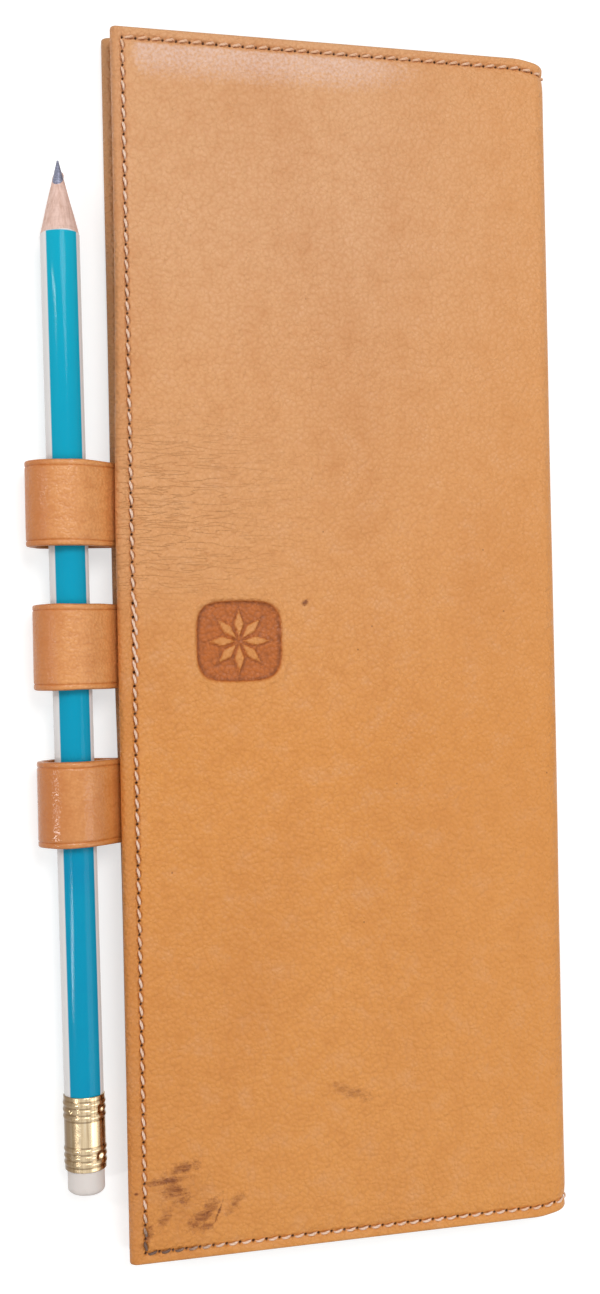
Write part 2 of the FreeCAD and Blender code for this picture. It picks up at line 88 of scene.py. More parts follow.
# Layers of a cover, its fold beside the spine, its turned hem and its cut ends.
LEATHER = 1.4
LINING = 0.6
BOARD = 0.8
COVER = LEATHER + BOARD + LINING
FOLD_RADIUS = 3.0
FOLD_X = HALF_WIDTH - FOLD_RADIUS
FOLD_RUN = FOLD_RADIUS * math.pi / 2
HEM_RADIUS = COVER / 2
HEM_X = OPENING_X + HEM_RADIUS
HEM_FLAP = 0.8
FLAP_END_X = OPENING_X + 10.0
SLOT_RADIUS = LINING / 2
SLOT_X = OPENING_X + 1.8
CUT_ROUND = 0.45
# A hem is turned in further towards one end of its cover: by what share, and where that starts and is full.
FRONT_TAPER = (0.27, 15, 75)
BACK_TAPER = (0.28, 20, -60)
# The seam draws a cover's ends in where the leather turns the fold.
CORNER_DRAW = 1.3
CORNER_REACH = 12.0
CORNER_START = 4.0
# Slow waves of the hide.
WAVE_DEPTH = 0.1
WAVE_LENGTH = 30

# Edges of a lining, and of the part that the board raises.
LINING_EDGE_X = OPENING_X + 2.1
LINING_EDGE_Y = HALF_LENGTH - 0.3
LINING_ROUND = 0.2
RAISED_LEFT = FLAP_END_X + 0.3
RAISED_RIGHT = 39.1
RAISED_Y = 108.1

# Seams with their grooves, needle holes and the leather that they pull down beside them.
SEAM_X = OPENING_X + 2.8
SEAM_Y = HALF_LENGTH - 2.0
SEAM_PITCH = 2.5
GROOVE_WIDTH = 0.45
HOLE_DEPTH = 0.4
HOLE_WIDTH = 0.34
PULL_DEPTH = 0.16
PULL_WIDTH = 1.8

# A stitch of two twisted plies, which arches out of one needle hole and into the next.
STITCH_STEPS = 8
STITCH_SIDES = 8
STITCH_TWIST = math.radians(300)
STITCH_ARCH = 0.57
STITCH_SUNK = 0.6
STITCH_SLANT = 0.2
STITCH_FLAT = 0.8
STITCH_END = 0.5
PLY_HOLLOW = 0.28
# Stitches beside the middle loop are doubled, and those on the loops' roots lie higher.
DOUBLED_HALF = 7.4
DOUBLED_SHIFT = 0.4
DOUBLED_LIFT = 0.12
ROOT_LIFT = 0.1

# Stamped square on the front, and the petals of its rosette.
STAMP_X, STAMP_Y = -20.6, 0.3
STAMP_WIDE = 8.1
STAMP_HALF = 7.5
PETALS = 8
PETAL_MIDDLE = 3.2
PETAL_HALF = 2.5
PETAL_WIDTH = 0.9

# Strap loops and their roots between the covers.
LOOPS = {"loop_upper": 25.7, "loop_middle": -0.2, "loop_lower": -28.5}
LOOP_HALF = 7.75
LOOP_OUTER = 5.4
STRAP = 1.2
STRAP_FLAT = 7.45
STRAP_BEVEL = 7.66
STRAP_CREASE = 6.68
CREASE_DEPTH = 0.17
ROOT_X = OPENING_X + 11.0
ROOT_SEAM_INSET = 1.6

# Sleeves and pocket: seam margin, stitch pitch, and the crease below the open edge.
PANEL_SEAM = 3.0
PANEL_PITCH = 4.0
PANEL_CREASE = 2.0
PANEL_FLAT = 1.4

# Pencil. Places along it are measured from its eraser end.
PENCIL_OFFSET = 8.15
PENCIL_RADIUS = 3.6
PENCIL_LENGTH = 187.7
POINT_LENGTH = 13.6
LEAD_RADIUS = 1.2
LEAD_TIP = 0.25
PAINT_END = PENCIL_LENGTH - POINT_LENGTH
WOOD_END = PENCIL_LENGTH - POINT_LENGTH * (LEAD_RADIUS - LEAD_TIP) / (PENCIL_RADIUS - LEAD_TIP)
SHAVED = 0.05
SPIGOT_RADIUS = 3.32
SPIGOT_LENGTH = 6.0
ERASER_REACH = 4.6
ERASER_RADIUS = 3.35
ERASER_ROUND = 0.9
FERRULE_RADIUS = 3.75
FERRULE_WALL = 0.33
FERRULE_LENGTH = 13.5
FERRULE_END = ERASER_REACH + FERRULE_LENGTH
CRIMP_MARGIN = 1.4
CRIMP_PITCH = 1.2
CRIMP_HEIGHT = 0.14
CRIMP_WIDTH = 0.33
DENT_DEPTH = 0.3
DENT_WIDTH = 0.62
PENCIL_AXIS = Vector(JOINTS["pencil_slide"]["axis"]).normalized()
PENCIL_TIP_Y = box_mm("pencil_lead")[1].y
PENCIL_HEIGHT = (box_mm("pencil_barrel")[0].z + box_mm("pencil_barrel")[1].z) / 2

# Floor and lamps, in metres. A lamp has its place, width and length, and the setting that holds its power.
FLOOR_HALF = 3.0
FLOOR_Z = -0.0001
FLOOR_GLOW = 0.62
LAMPS = {
    "key": ((0.12, 0.5, 1.0), (0.55, 0.55), "key_power"),
    "upper_window": ((-0.62, 0.26, 0.5), (0.06, 0.3), "window_power"),
    "lower_window": ((-0.62, -0.2, 0.5), (0.06, 0.3), "window_power"),
    "fill": ((0.6, -0.3, 0.6), (0.6, 0.6), "fill_power"),
}
# The photograph is 600 by 1294 pixels, and the camera was solved from the outline of the case and its pencil.
# Its place is in millimetres, its turn in degrees and its near limit in metres.
PHOTO_HEIGHT = 1294
FOCAL_PIXELS = 1552
SENSOR_HEIGHT = 36.0
CAMERA_PLACE = (-82.14, -1.52, 288.77)
CAMERA_TURN = (0.399, -14.612, -1.187)
CAMERA_NEAR = 0.01


def linear(code):
    """An sRGB hex colour as linear red, green and blue."""
    channels = [int(code[place : place + 2], 16) / 255 for place in (1, 3, 5)]
    return tuple(c / 12.92 if c <= 0.04045 else ((c + 0.055) / 1.055) ** 2.4 for c in channels)


def colour_property(name, description, code):
    """A colour that a user may change, given as sRGB hex."""
    return FloatVectorProperty(
        name=name, description=description, default=linear(code), subtype="COLOR", min=0, max=1
    )


def length_property(name, description, millimetres):
    """A length that a user may change, given in millimetres."""
    return FloatProperty(
        name=name, description=description, default=millimetres * MM, unit="LENGTH", subtype="DISTANCE", min=0
    )


def power_property(name, description, watts):
    """A lamp's power that a user may change, given in watts."""
    return FloatProperty(name=name, description=description, default=watts, unit="POWER")


class CaseLeather(bpy.types.PropertyGroup):
    """Colours and sizes of the leather and its seams."""

    tan: colour_property("Tan", "Main tone of the cover leather", "#DE9449")
    top_tone: colour_property("Top tone", "Paler tone towards the pencil's point", "#DDA473")
    low_tone: colour_property("Low tone", "Deeper tone towards the eraser end", "#E0984E")
    # A painted sheen: pale colour in a band below the front's upper seam, standing in for the lamp's
    # reflection there.
    sheen: colour_property("Bloom", "Wax bloom beside the upper seam", "#EFD6CE")
    # Besides the mottling, this colour paints shade on the hems, in the wrinkles and at the lower left.
    shade: colour_property("Shade", "Darker mottling of the hide", "#B86C2E")
    strap: colour_property("Strap", "Main tone of the burnished strap loops", "#EAA463")
    # Besides the mottling, this colour paints shade where a loop faces left and beside the covers.
    strap_shade: colour_property("Strap shade", "Darker rubbed tone of the strap loops", "#BC6A28")
    # The cut-edge colour also paints shade on the back cover's hem.
    edge: colour_property("Cut edge", "Cut edges and flesh side of the leather", "#B08558")
    stamp: colour_property("Stamp", "Darkened floor of the stamped square", "#B86020")
    smudge: colour_property("Smudge", "Handling stains", "#84451A")
    stain: colour_property("Stain", "Needle holes, scratches and soiled thread", "#462210")
    lining: colour_property("Lining", "Undyed lining leather", "#D9B184")
    board: colour_property("Board", "Stiffening board inside the covers", "#A39A8A")
    thread: colour_property("Thread", "Waxed seam thread", "#F0D3BD")
    thread_width: length_property("Thread width", "Width of a stitch across the seam", 0.56)
    stitch_gap: length_property("Stitch gap", "Bare length at a needle hole between two stitches", 0.7)
    groove_depth: length_property("Groove depth", "Depth of the groove that the seam lies in", 0.3)
    stamp_depth: length_property("Stamp depth", "Depth of the stamped square on the front", 0.6)
    sleeve_swell: length_property("Sleeve swell", "How far a pen sleeve swells between its seams", 0.28)


class PencilFinish(bpy.types.PropertyGroup):
    """Colours and sizes of the pencil's finish."""

    stripe: colour_property("Stripe", "Lacquer stripe on the pencil's upper and lower side", "#0098BC")
    side: colour_property("Side", "Lacquer between the stripes", "#ECE8E6")
    stripe_width: length_property("Stripe width", "Width of a lacquer stripe across the barrel", 5.44)
    cedar: colour_property("Cedar", "Sharpened wood", "#EBC8BA")
    cedar_dark: colour_property("Cedar dark", "Late wood and blade marks in the sharpened wood", "#C79C88")
    graphite: colour_property("Graphite", "Ground lead", "#8A8CA2")
    ferrule: colour_property("Ferrule", "Gilt metal of the ferrule", "#DEC7A2")
    eraser: colour_property("Eraser", "Rubber of the eraser", "#E2D9D3")


class StudioStage(bpy.types.PropertyGroup):
    """Floor and light round the case."""

    floor: colour_property("Floor", "Colour of the floor", "#C9C9C8")
    key_power: power_property("Key light", "Power of the large soft light above", 5.1)
    window_power: power_property("Windows", "Power of each light on the left", 1.0)
    fill_power: power_property("Fill light", "Power of the weak side light", 1.6)
    ambient: FloatProperty(
        name="Ambient", description="Strength of the light from all round", default=0.34, min=0
    )


def spread(start, stop, steps):
    """Evenly spaced numbers from start to stop, both included."""
    return [start + (stop - start) * step / steps for step in range(steps + 1)]


def smooth_step(value, low, high):
    """0 below low, 1 above high and an even swing between."""
    share = min(max((value - low) / (high - low), 0), 1)
    return share * share * (3 - 2 * share)


def bell(distance, width):
    """1 at no distance, falling off evenly to nearly 0 at twice the width."""
    return math.exp(-((distance / width) ** 2))


def stations(start, stop, step, details):
    """Places from start to stop: evenly spaced ones, and close ones round each (places, offsets) detail."""
    places = spread(start, stop, max(1, round((stop - start) / step)))
    for middles, offsets in details:
        places += [middle + offset for middle in middles for offset in offsets]
    kept = [start]
    for place in sorted(places):
        if kept[-1] + CLOSEST < place < stop - CLOSEST:
            kept.append(place)
    return kept + [stop]


def seam_holes(start, stop, pitch):
    """Needle holes of a seam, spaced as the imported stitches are."""
    return spread(start, stop, max(1, round((stop - start) / pitch)))


LEFT_HOLES = seam_holes(-SEAM_Y, SEAM_Y, SEAM_PITCH)
END_HOLES = seam_holes(SEAM_X, FOLD_X, SEAM_PITCH)
FOLD_HOLES = [FOLD_X + FOLD_RUN / 2, FOLD_X + FOLD_RUN]
# Close stations across a needle hole, a seam's groove, the stamp's rim, a cut end and a panel's rim.
HOLE_STATIONS = (-0.3, 0.0, 0.3)
GROOVE_STATIONS = (-0.8, -0.5, -0.25, 0.25, 0.5, 0.8)
STAMP_STATIONS = spread(-0.6, 0.6, 6)
CUT_STATIONS = (-0.8, -0.5, -0.3, -0.15, 0.15, 0.3, 0.5, 0.8)
RIM_STATIONS = (-0.6, -0.3, -0.12, 0.12, 0.3, 0.6)


def nearest(value, places):
    """Distance from a value to the nearest of evenly spaced places."""
    step = places[1] - places[0]
    number = min(max(round((value - places[0]) / step), 0), len(places) - 1)
    return abs(value - places[number])


def grid(rows, columns, first=0, round_rows=False, round_columns=False):
    """Four-sided faces of a grid of points, numbered row by row. A round grid meets itself again."""
    faces = []
    for row in range(rows if round_rows else rows - 1):
        here = first + row * columns
        there = first + (row + 1) % rows * columns
        for column in range(columns if round_columns else columns - 1):
            right = (column + 1) % columns
            faces.append((here + column, here + right, there + right, there + column))
    return faces


def sheet_faces(rows, width):
    """Faces of a closed thin sheet: a grid of points, the same grid on its other side and walls between."""
    other = rows * width
    faces = grid(rows, width) + grid(rows, width, other)
    near = [row * width for row in range(rows)]
    far = [start + width - 1 for start in near]
    low = list(range(width))
    high = [near[-1] + column for column in low]
    for line in (near, far, low, high):
        faces += [(a, b, b + other, a + other) for a, b in zip(line, line[1:])]
    return faces


def zip_runs(one, other, points, axis):
    """Triangles between two runs of points that lie side by side along an axis but differ in number."""
    faces = []
    left = right = 0
    while left < len(one) - 1 or right < len(other) - 1:
        next_left = points[one[left + 1]][axis] if left < len(one) - 1 else math.inf
        next_right = points[other[right + 1]][axis] if right < len(other) - 1 else math.inf
        if next_left <= next_right:
            faces.append((one[left], one[left + 1], other[right]))
            left += 1
        else:
            faces.append((one[left], other[right + 1], other[right]))
            right += 1
    return faces


def make_piece(name, points, faces, materials, places=None, masks=None, second=None, crease=45):
    """A closed mesh piece from points in millimetres, which keeps each point's rest place for its patterns.

    second(face) says whether a face wears the second material.
    """
    mesh = bpy.data.meshes.new(name)
    mesh.from_pydata([Vector(point) * MM for point in points], [], faces)
    rest = mesh.attributes.new("place_mm", "FLOAT_VECTOR", "POINT")
    rest.data.foreach_set("vector", [value for place in places or points for value in place])
    for mask, values in (masks or {}).items():
        mesh.attributes.new(mask, "FLOAT", "POINT").data.foreach_set("value", values)
    for material in materials:
        mesh.materials.append(material)
    if second:
        mesh.polygons.foreach_set("material_index", [int(second(face)) for face in faces])
    work = bmesh.new()
    work.from_mesh(mesh)
    bmesh.ops.recalc_face_normals(work, faces=work.faces)
    work.to_mesh(mesh)
    work.free()
    mesh.polygons.foreach_set("use_smooth", [True] * len(mesh.polygons))
    mesh.set_sharp_from_angle(angle=math.radians(crease))
    piece = bpy.data.objects.new(name, mesh)
    bpy.context.scene.collection.objects.link(piece)
    return piece


def feed(tree, node, inputs):
    """Sets a node's sockets: a value stays on the socket, another node's output is linked to it."""
    for name, value in inputs.items():
        socket = node.inputs[name]
        if isinstance(value, bpy.types.NodeSocket):
            tree.links.new(value, socket)
        elif socket.type == "RGBA":
            socket.default_value = (*value[:3], 1)
        else:
            socket.default_value = value


def add(tree, kind, inputs, output=0, **settings):
    """Adds one shader node with its settings and links, and gives one of its outputs."""
    node = tree.nodes.new("ShaderNode" + kind)
    for name, value in settings.items():
        setattr(node, name, value)
    feed(tree, node, inputs)
    return node.outputs[output]


def new_material(name):
    """A node material with its tree and its shader."""
    material = bpy.data.materials.new(name)
    material.use_nodes = True
    return material, material.node_tree, material.node_tree.nodes["Principled BSDF"]


def piece_material(name):
    """A node material with its tree, its shader and the rest place in millimetres for its patterns."""
    material, tree, shader = new_material(name)
    return material, tree, shader, add(tree, "Attribute", {}, "Vector", attribute_name="place_mm")


def tinted(tree, colour, *tints):
    """A colour that goes over to each tint in turn.

    A tint has its colour, a pattern, that pattern's values where the tint starts and is full, and its full
    share.
    """
    for tint, pattern, start, full, most in tints:
        inputs = {"Value": pattern, "From Min": start, "From Max": full, "To Max": most}
        share = add(tree, "MapRange", inputs)
        colour = add(tree, "Mix", {0: share, 6: colour, 7: tint}, 2, data_type="RGBA")
    return colour


def hide_pattern(tree, place, pebble_mm):
    """The clouds, mottling and pebbled grain that every hide shows, each from 0 to 1."""
    # Clouds are about 14 mm wide and drawn out to 40 mm along the hide's back. Mottles are about 4.5 mm wide.
    stretched = add(tree, "Mapping", {"Vector": place, "Scale": (1 / 14, 1 / 40, 1 / 14)})
    clouds = add(tree, "TexNoise", {"Vector": stretched, "Scale": 1.0, "Detail": 3.0}, "Fac")
    inputs = {"Vector": place, "Scale": 1 / 4.5, "Detail": 4.0, "Roughness": 0.5}
    mottle = add(tree, "TexNoise", inputs, "Fac")
    bent = add(tree, "TexNoise", {"Vector": place, "Scale": 1 / (2 * pebble_mm), "Detail": 2.0}, "Color")
    bent = add(tree, "VectorMath", {0: bent, 1: (pebble_mm,) * 3, 2: place}, operation="MULTIPLY_ADD")
    pebble = add(tree, "TexVoronoi", {"Vector": bent, "Scale": 1 / pebble_mm}, "Distance")
    return clouds, mottle, pebble


# Handling stains on the front: place, turn in degrees, half-sizes in millimetres and strength.
STAINS = (
    ((-36.4, -97.6), 4, (5.6, 1.1), 0.75),
    ((-33.2, -95.6), 12, (4.8, 1.7), 0.6),
    ((-34.6, -100.0), -35, (4.6, 3.0), 0.6),
    ((-36.6, -104.4), 55, (3.6, 1.6), 0.5),
    ((-34.0, -101.0), 20, (9.0, 8.0), 0.16),
    ((-29.4, -104.4), 38, (5.8, 2.2), 0.6),
    ((-29.4, -106.8), 20, (3.4, 1.3), 0.7),
    ((-23.6, -103.0), 50, (3.6, 1.3), 0.5),
    ((-0.5, -84.7), -20, (6.0, 1.6), 0.36),
    ((-7.9, 7.2), 60, (1.0, 0.8), 0.9),
    ((-26.8, -104.6), 67, (3.4, 0.36), 1.0),
    ((-41.8, -99.5), 0, (0.6, 0.5), 0.6),
    ((-39.8, -107.6), 70, (3.4, 1.3), 0.6),
)
STAIN_DEPTH = 2.0


def handling_soil(tree, place, blotch):
    """Dirt on the front: ragged spots that break up into scuffs."""
    soil = 0.0
    for (x, y), turn, (half_long, half_wide), strength in STAINS:
        inputs = {
            "Vector": place,
            "Location": (x, y, THICK),
            "Rotation": (0, 0, math.radians(turn)),
            "Scale": (half_long, half_wide, STAIN_DEPTH),
        }
        spot = add(tree, "Mapping", inputs, vector_type="TEXTURE")
        reach = add(tree, "VectorMath", {0: spot}, "Value", operation="LENGTH")
        ragged = add(tree, "Math", {0: blotch, 1: 2.2, 2: reach}, operation="MULTIPLY_ADD")
        inputs = {"Value": ragged, "From Min": 1.95, "From Max": 1.25, "To Max": strength}
        spot = add(tree, "MapRange", inputs)
        soil = add(tree, "Math", {0: soil, 1: spot}, operation="MAXIMUM")
    # A scuff is about 2 mm long and 0.5 mm from the next.
    inputs = {"Vector": place, "Scale": (1 / 2, 1 / 0.5, 1 / 2), "Rotation": (0, 0, -0.6)}
    scuffed = add(tree, "Mapping", inputs)
    inputs = {"Vector": scuffed, "Scale": 1.0, "Detail": 4.0, "Roughness": 0.7}
    scuff = add(tree, "TexNoise", inputs, "Fac")
    inputs = {"Value": scuff, "From Min": 0.35, "From Max": 0.65, "To Min": 0.45, "To Max": 1.3}
    scuff = add(tree, "MapRange", inputs)
    return add(tree, "Math", {0: soil, 1: scuff}, operation="MULTIPLY")


def vegetable_tanned_leather(leather):
    """Leather of the covers, sleeves and pocket."""
    # Vegetable-tanned cowhide, smoothed and lightly waxed: cloudy tan with a soft satin gleam, fine pebbled
    # grain, short wrinkles beside the hem, and darkened needle holes, cut edges, stamp and handling stains.
    material, tree, shader, place = piece_material("vegetable_tanned_cowhide_waxed")
    across, along, up = (add(tree, "SeparateXYZ", {"Vector": place}, axis) for axis in "XYZ")
    hole, stamp, edge = (
        add(tree, "Attribute", {}, "Fac", attribute_name=mask) for mask in ("hole", "stamp", "edge")
    )
    # Real grain cells are about 0.3 mm across. They are drawn at 0.75 mm so that they show.
    clouds, mottle, pebble = hide_pattern(tree, place, 0.75)
    # Painted shade darkens the lower left and the back cover's hem, a painted sheen lies in a band below the
    # front's upper seam, and the hide is wrinkled beside the hem above the upper loop. Each part lies within
    # limits: a coordinate, its values where the part starts and is full, and how it rises between them.
    even, smooth = "LINEAR", "SMOOTHSTEP"
    limits = {
        "held": ((across, 5.0, -35.0, even), (along, -20.0, -70.0, even)),
        "back_hem_shade": ((across, SEAM_X, HEM_X, even), (up, 5.0, 2.6, even)),
        "sheen_band": (
            (along, 99.0, 108.5, smooth),
            (along, 110.2, 109.4, even),
            (across, 30.0, 0.0, smooth),
            (across, -40.5, -36.5, smooth),
            (up, THICK - 1.5, THICK - 0.5, even),
        ),
        "wrinkled": ((across, 8.0, -36.0, smooth), (along, 0.0, 16.0, smooth), (along, 52.0, 30.0, smooth)),
    }
    worn = dict.fromkeys(limits, 1.0)
    for part, sides in limits.items():
        for value, start, full, rise in sides:
            inputs = {"Value": value, "From Min": start, "From Max": full, "To Max": worn[part]}
            worn[part] = add(tree, "MapRange", inputs, interpolation_type=rise)
    # Hair pores are about 0.3 mm across and 8 mm apart.
    pore = add(tree, "TexVoronoi", {"Vector": place, "Scale": 1 / 8}, "Distance")
    # The painted sheen's specks are about 0.55 mm across.
    sheen_specks = add(tree, "TexNoise", {"Vector": place, "Scale": 1 / 0.55, "Detail": 2.0}, "Fac")
    sheen_specks = add(tree, "Math", {0: sheen_specks, 1: worn["sheen_band"]}, operation="MULTIPLY")
    # Wrinkles run across the case, about 6 mm long and 0.9 mm apart.
    inputs = {"Vector": place, "Scale": (1 / 6, 1 / 0.9, 1 / 6), "Rotation": (0, 0, -0.12)}
    stretched = add(tree, "Mapping", inputs)
    inputs = {"Vector": stretched, "Scale": 1.0, "Detail": 1.5, "Distortion": 0.5}
    field = add(tree, "TexNoise", inputs, "Fac")
    field = add(tree, "Math", {0: field, 1: 0.5}, operation="SUBTRACT")
    field = add(tree, "Math", {0: field}, operation="ABSOLUTE")
    inputs = {"Value": field, "From Min": 0.035, "From Max": 0.0, "To Max": worn["wrinkled"]}
    wrinkle = add(tree, "MapRange", inputs)
    # Dirt and the stamp's burnt floor are blotched about every 1.3 mm.
    inputs = {"Vector": place, "Scale": 1 / 1.3, "Detail": 5.0, "Roughness": 0.75}
    blotch = add(tree, "TexNoise", inputs, "Fac")
    soil = handling_soil(tree, place, blotch)
    pressed = add(tree, "Math", {0: blotch, 1: stamp}, operation="MULTIPLY")
    stipple = add(tree, "Math", {0: pebble, 1: stamp}, operation="MULTIPLY")
    colour = tinted(
        tree,
        leather.tan,
        (leather.top_tone, along, -20.0, 75.0, 1.0),
        (leather.low_tone, along, -20.0, -112.0, 1.0),
        (leather.shade, clouds, 0.45, 0.8, 0.22),
        (leather.shade, mottle, 0.5, 0.8, 0.2),
        (leather.top_tone, mottle, 0.48, 0.22, 0.35),
        (leather.shade, pebble, 0.35, 0.8, 0.2),
        # The right side keeps more of its tan.
        (leather.tan, across, 5.0, 42.0, 0.45),
        # Painted shade at the lower left, where the left lamps light the cover more.
        (leather.shade, worn["held"], 0.0, 1.0, 0.18),
        # Painted shade on the hems' steep outer curve, darker towards their edge.
        (leather.shade, across, SEAM_X + 0.6, OPENING_X + 0.4, 0.4),
        # Painted shade on the back cover's hem, which lies below the front cover's hem, in the cut-edge
        # colour.
        (leather.edge, worn["back_hem_shade"], 0.0, 1.0, 0.45),
        (leather.stain, pore, 0.03, 0.012, 0.5),
        # Painted sheen below the front's upper seam, in place of the lamp's reflection.
        (leather.sheen, sheen_specks, 0.2, 0.65, 0.5),
        # The wrinkled skin is paler, and painted shade darkens its wrinkles.
        (leather.top_tone, worn["wrinkled"], 0.0, 1.0, 0.35),
        (leather.shade, wrinkle, 0.05, 1.0, 0.26),
        (leather.smudge, soil, 0.0, 0.65, 0.9),
        (leather.stain, soil, 0.55, 1.2, 0.7),
        # The stamp's darkness also carries the painted shade at its rim and round its petals.
        (leather.stamp, stamp, 0.0, 1.0, 0.9),
        (leather.smudge, pressed, 0.45, 1.0, 0.9),
        (leather.smudge, stipple, 0.35, 1.0, 0.5),
        (leather.edge, edge, 0.0, 1.0, 0.8),
        (leather.stain, hole, 0.3, 0.7, 1.0),
    )
    height = add(tree, "Math", {0: pebble, 1: -1.0, 2: 1.0}, operation="MULTIPLY_ADD")
    height = add(tree, "Math", {0: wrinkle, 1: -0.35, 2: height}, operation="MULTIPLY_ADD")
    height = add(tree, "Math", {0: mottle, 1: 0.8, 2: height}, operation="MULTIPLY_ADD")
    bump = add(tree, "Bump", {"Strength": 0.9, "Distance": 0.25 * MM, "Height": height})
    inputs = {"Value": mottle, "From Min": 0.3, "From Max": 0.7, "To Min": 0.4, "To Max": 0.56}
    rough = add(tree, "MapRange", inputs)
    shine = {"Roughness": rough, "Normal": bump, "Specular IOR Level": 0.35}
    feed(tree, shader, {"Base Color": colour, **shine})
    return material


def burnished_strap_leather(leather):
    """Leather of the strap loops."""
    # The same hide cut as strap, creased along its edges and burnished by rubbing: deeper orange, darker
    # where it is handled, with painted shade where it faces left and beside the covers, crossed by fine
    # stretch marks and shinier than the covers.
    material, tree, shader, place = piece_material("vegetable_tanned_strap_burnished")
    across, along = (add(tree, "SeparateXYZ", {"Vector": place}, axis) for axis in "XY")
    bend, edge = (add(tree, "Attribute", {}, "Fac", attribute_name=mask) for mask in ("bend", "edge"))
    # Real grain cells are about 0.3 mm across. They are drawn at 0.55 mm so that they show.
    clouds, mottle, pebble = hide_pattern(tree, place, 0.55)
    # Stretch marks run round the loop, about 3 mm long and 0.7 mm apart.
    inputs = {"Vector": place, "Scale": (1 / 3, 1 / 0.7, 1 / 3), "Rotation": (0, 0, 0.2)}
    stretched = add(tree, "Mapping", inputs)
    inputs = {"Vector": stretched, "Scale": 1.0, "Detail": 2.0, "Distortion": 0.8}
    marks = add(tree, "TexNoise", inputs, "Fac")
    # The thumb has darkened and polished the lower loop most.
    thumbed = add(tree, "MapRange", {"Value": along, "From Min": -15.0, "From Max": -25.0})
    colour = tinted(
        tree,
        leather.strap,
        (leather.strap_shade, clouds, 0.42, 0.75, 0.35),
        (leather.strap_shade, mottle, 0.48, 0.78, 0.4),
        (leather.top_tone, mottle, 0.46, 0.25, 0.25),
        (leather.strap_shade, pebble, 0.3, 0.75, 0.28),
        (leather.strap_shade, marks, 0.54, 0.75, 0.3),
        # Painted shade darkens the strap where it faces left round the pencil, and its end beside the covers,
        # which lies under the front cover's hem.
        (leather.strap_shade, bend, 0.0, 0.5, 0.7),
        (leather.strap_shade, across, OPENING_X - 7.0, OPENING_X - 1.0, 0.15),
        (leather.strap_shade, thumbed, 0.0, 1.0, 0.3),
        (leather.strap_shade, edge, 0.0, 1.0, 0.7),
    )
    height = add(tree, "Math", {0: marks, 1: 0.8, 2: pebble}, operation="MULTIPLY_ADD")
    height = add(tree, "Math", {0: 1.0, 1: height}, operation="SUBTRACT")
    relief = add(tree, "MapRange", {"Value": thumbed, "To Min": 0.8, "To Max": 0.45})
    bump = add(tree, "Bump", {"Strength": relief, "Distance": 0.1 * MM, "Height": height})
    inputs = {"Value": mottle, "From Min": 0.3, "From Max": 0.7, "To Min": 0.3, "To Max": 0.46}
    rough = add(tree, "MapRange", inputs)
    rough = add(tree, "Math", {0: thumbed, 1: -0.17, 2: rough}, operation="MULTIPLY_ADD")
    shine = {"Roughness": rough, "Normal": bump, "Specular IOR Level": 0.5}
    feed(tree, shader, {"Base Color": colour, **shine})
    return material


def split_lining_leather(leather):
    """Leather of the linings."""
    # Undyed split leather, shaved thin: pale, dull and slightly napped, with soft clouds and no grain.
    material, tree, shader, place = piece_material("undyed_split_leather_shaved")
    # The fibres of the nap lie in tufts about 0.4 mm wide, over pits about 0.5 mm wide.
    clouds, mottle, pits = hide_pattern(tree, place, 0.5)
    inputs = {"Vector": place, "Scale": 1 / 0.4, "Detail": 4.0, "Roughness": 0.7}
    nap = add(tree, "TexNoise", inputs, "Fac")
    colour = tinted(
        tree,
        leather.lining,
        (leather.tan, clouds, 0.4, 0.8, 0.5),
        (leather.edge, nap, 0.5, 0.8, 0.4),
        (leather.edge, mottle, 0.5, 0.8, 0.35),
    )
    height = add(tree, "Math", {0: nap, 1: 0.6, 2: pits}, operation="MULTIPLY_ADD")
    bump = add(tree, "Bump", {"Strength": 0.5, "Distance": 0.06 * MM, "Height": height})
    shine = {"Roughness": 0.85, "Sheen Weight": 0.15, "Sheen Roughness": 0.5}
    feed(tree, shader, {"Base Color": colour, "Normal": bump, **shine})
    return material


def waxed_linen_thread(leather):
    """Thread of every seam."""
    # Two-ply linen drawn through wax: creamy with a dull gleam, pale along each fibre bundle and darker
    # between, with painted shade in the groove between its plies, and soiled brown by hand at the front's
    # lower corner.
    material, tree, shader, place = piece_material("two_ply_linen_waxed")
    along = add(tree, "SeparateXYZ", {"Vector": place}, "Y")
    ply = add(tree, "Attribute", {}, "Fac", attribute_name="ply")
    # Fibre bundles are about 0.3 mm wide, and the wear changes every 9 mm or so.
    inputs = {"Vector": place, "Scale": 1 / 0.3, "Detail": 3.0, "Roughness": 0.7}
    fibre = add(tree, "TexNoise", inputs, "Fac")
    worn = add(tree, "TexNoise", {"Vector": place, "Scale": 1 / 9, "Detail": 2.0}, "Fac")
    inputs = {"Vector": place, "Location": (SEAM_X, -SEAM_Y, THICK), "Scale": (17.0, 9.0, STAIN_DEPTH)}
    corner = add(tree, "Mapping", inputs, vector_type="TEXTURE")
    reach = add(tree, "VectorMath", {0: corner}, "Value", operation="LENGTH")
    ragged = add(tree, "Math", {0: fibre, 1: 0.7, 2: reach}, operation="MULTIPLY_ADD")
    colour = tinted(
        tree,
        leather.thread,
        (leather.tan, fibre, 0.45, 0.8, 0.4),
        (leather.top_tone, worn, 0.45, 0.75, 0.5),
        (leather.top_tone, along, 100.0, 109.0, 0.5),
        # Painted shade in the groove between the twisted plies.
        (leather.shade, ply, 0.4, 0.95, 0.45),
        (leather.stain, ragged, 1.25, 0.65, 0.9),
    )
    bump = add(tree, "Bump", {"Strength": 0.4, "Distance": 0.05 * MM, "Height": fibre})
    feed(tree, shader, {"Base Color": colour, "Normal": bump, "Roughness": 0.6, "Sheen Weight": 0.1})
    return material


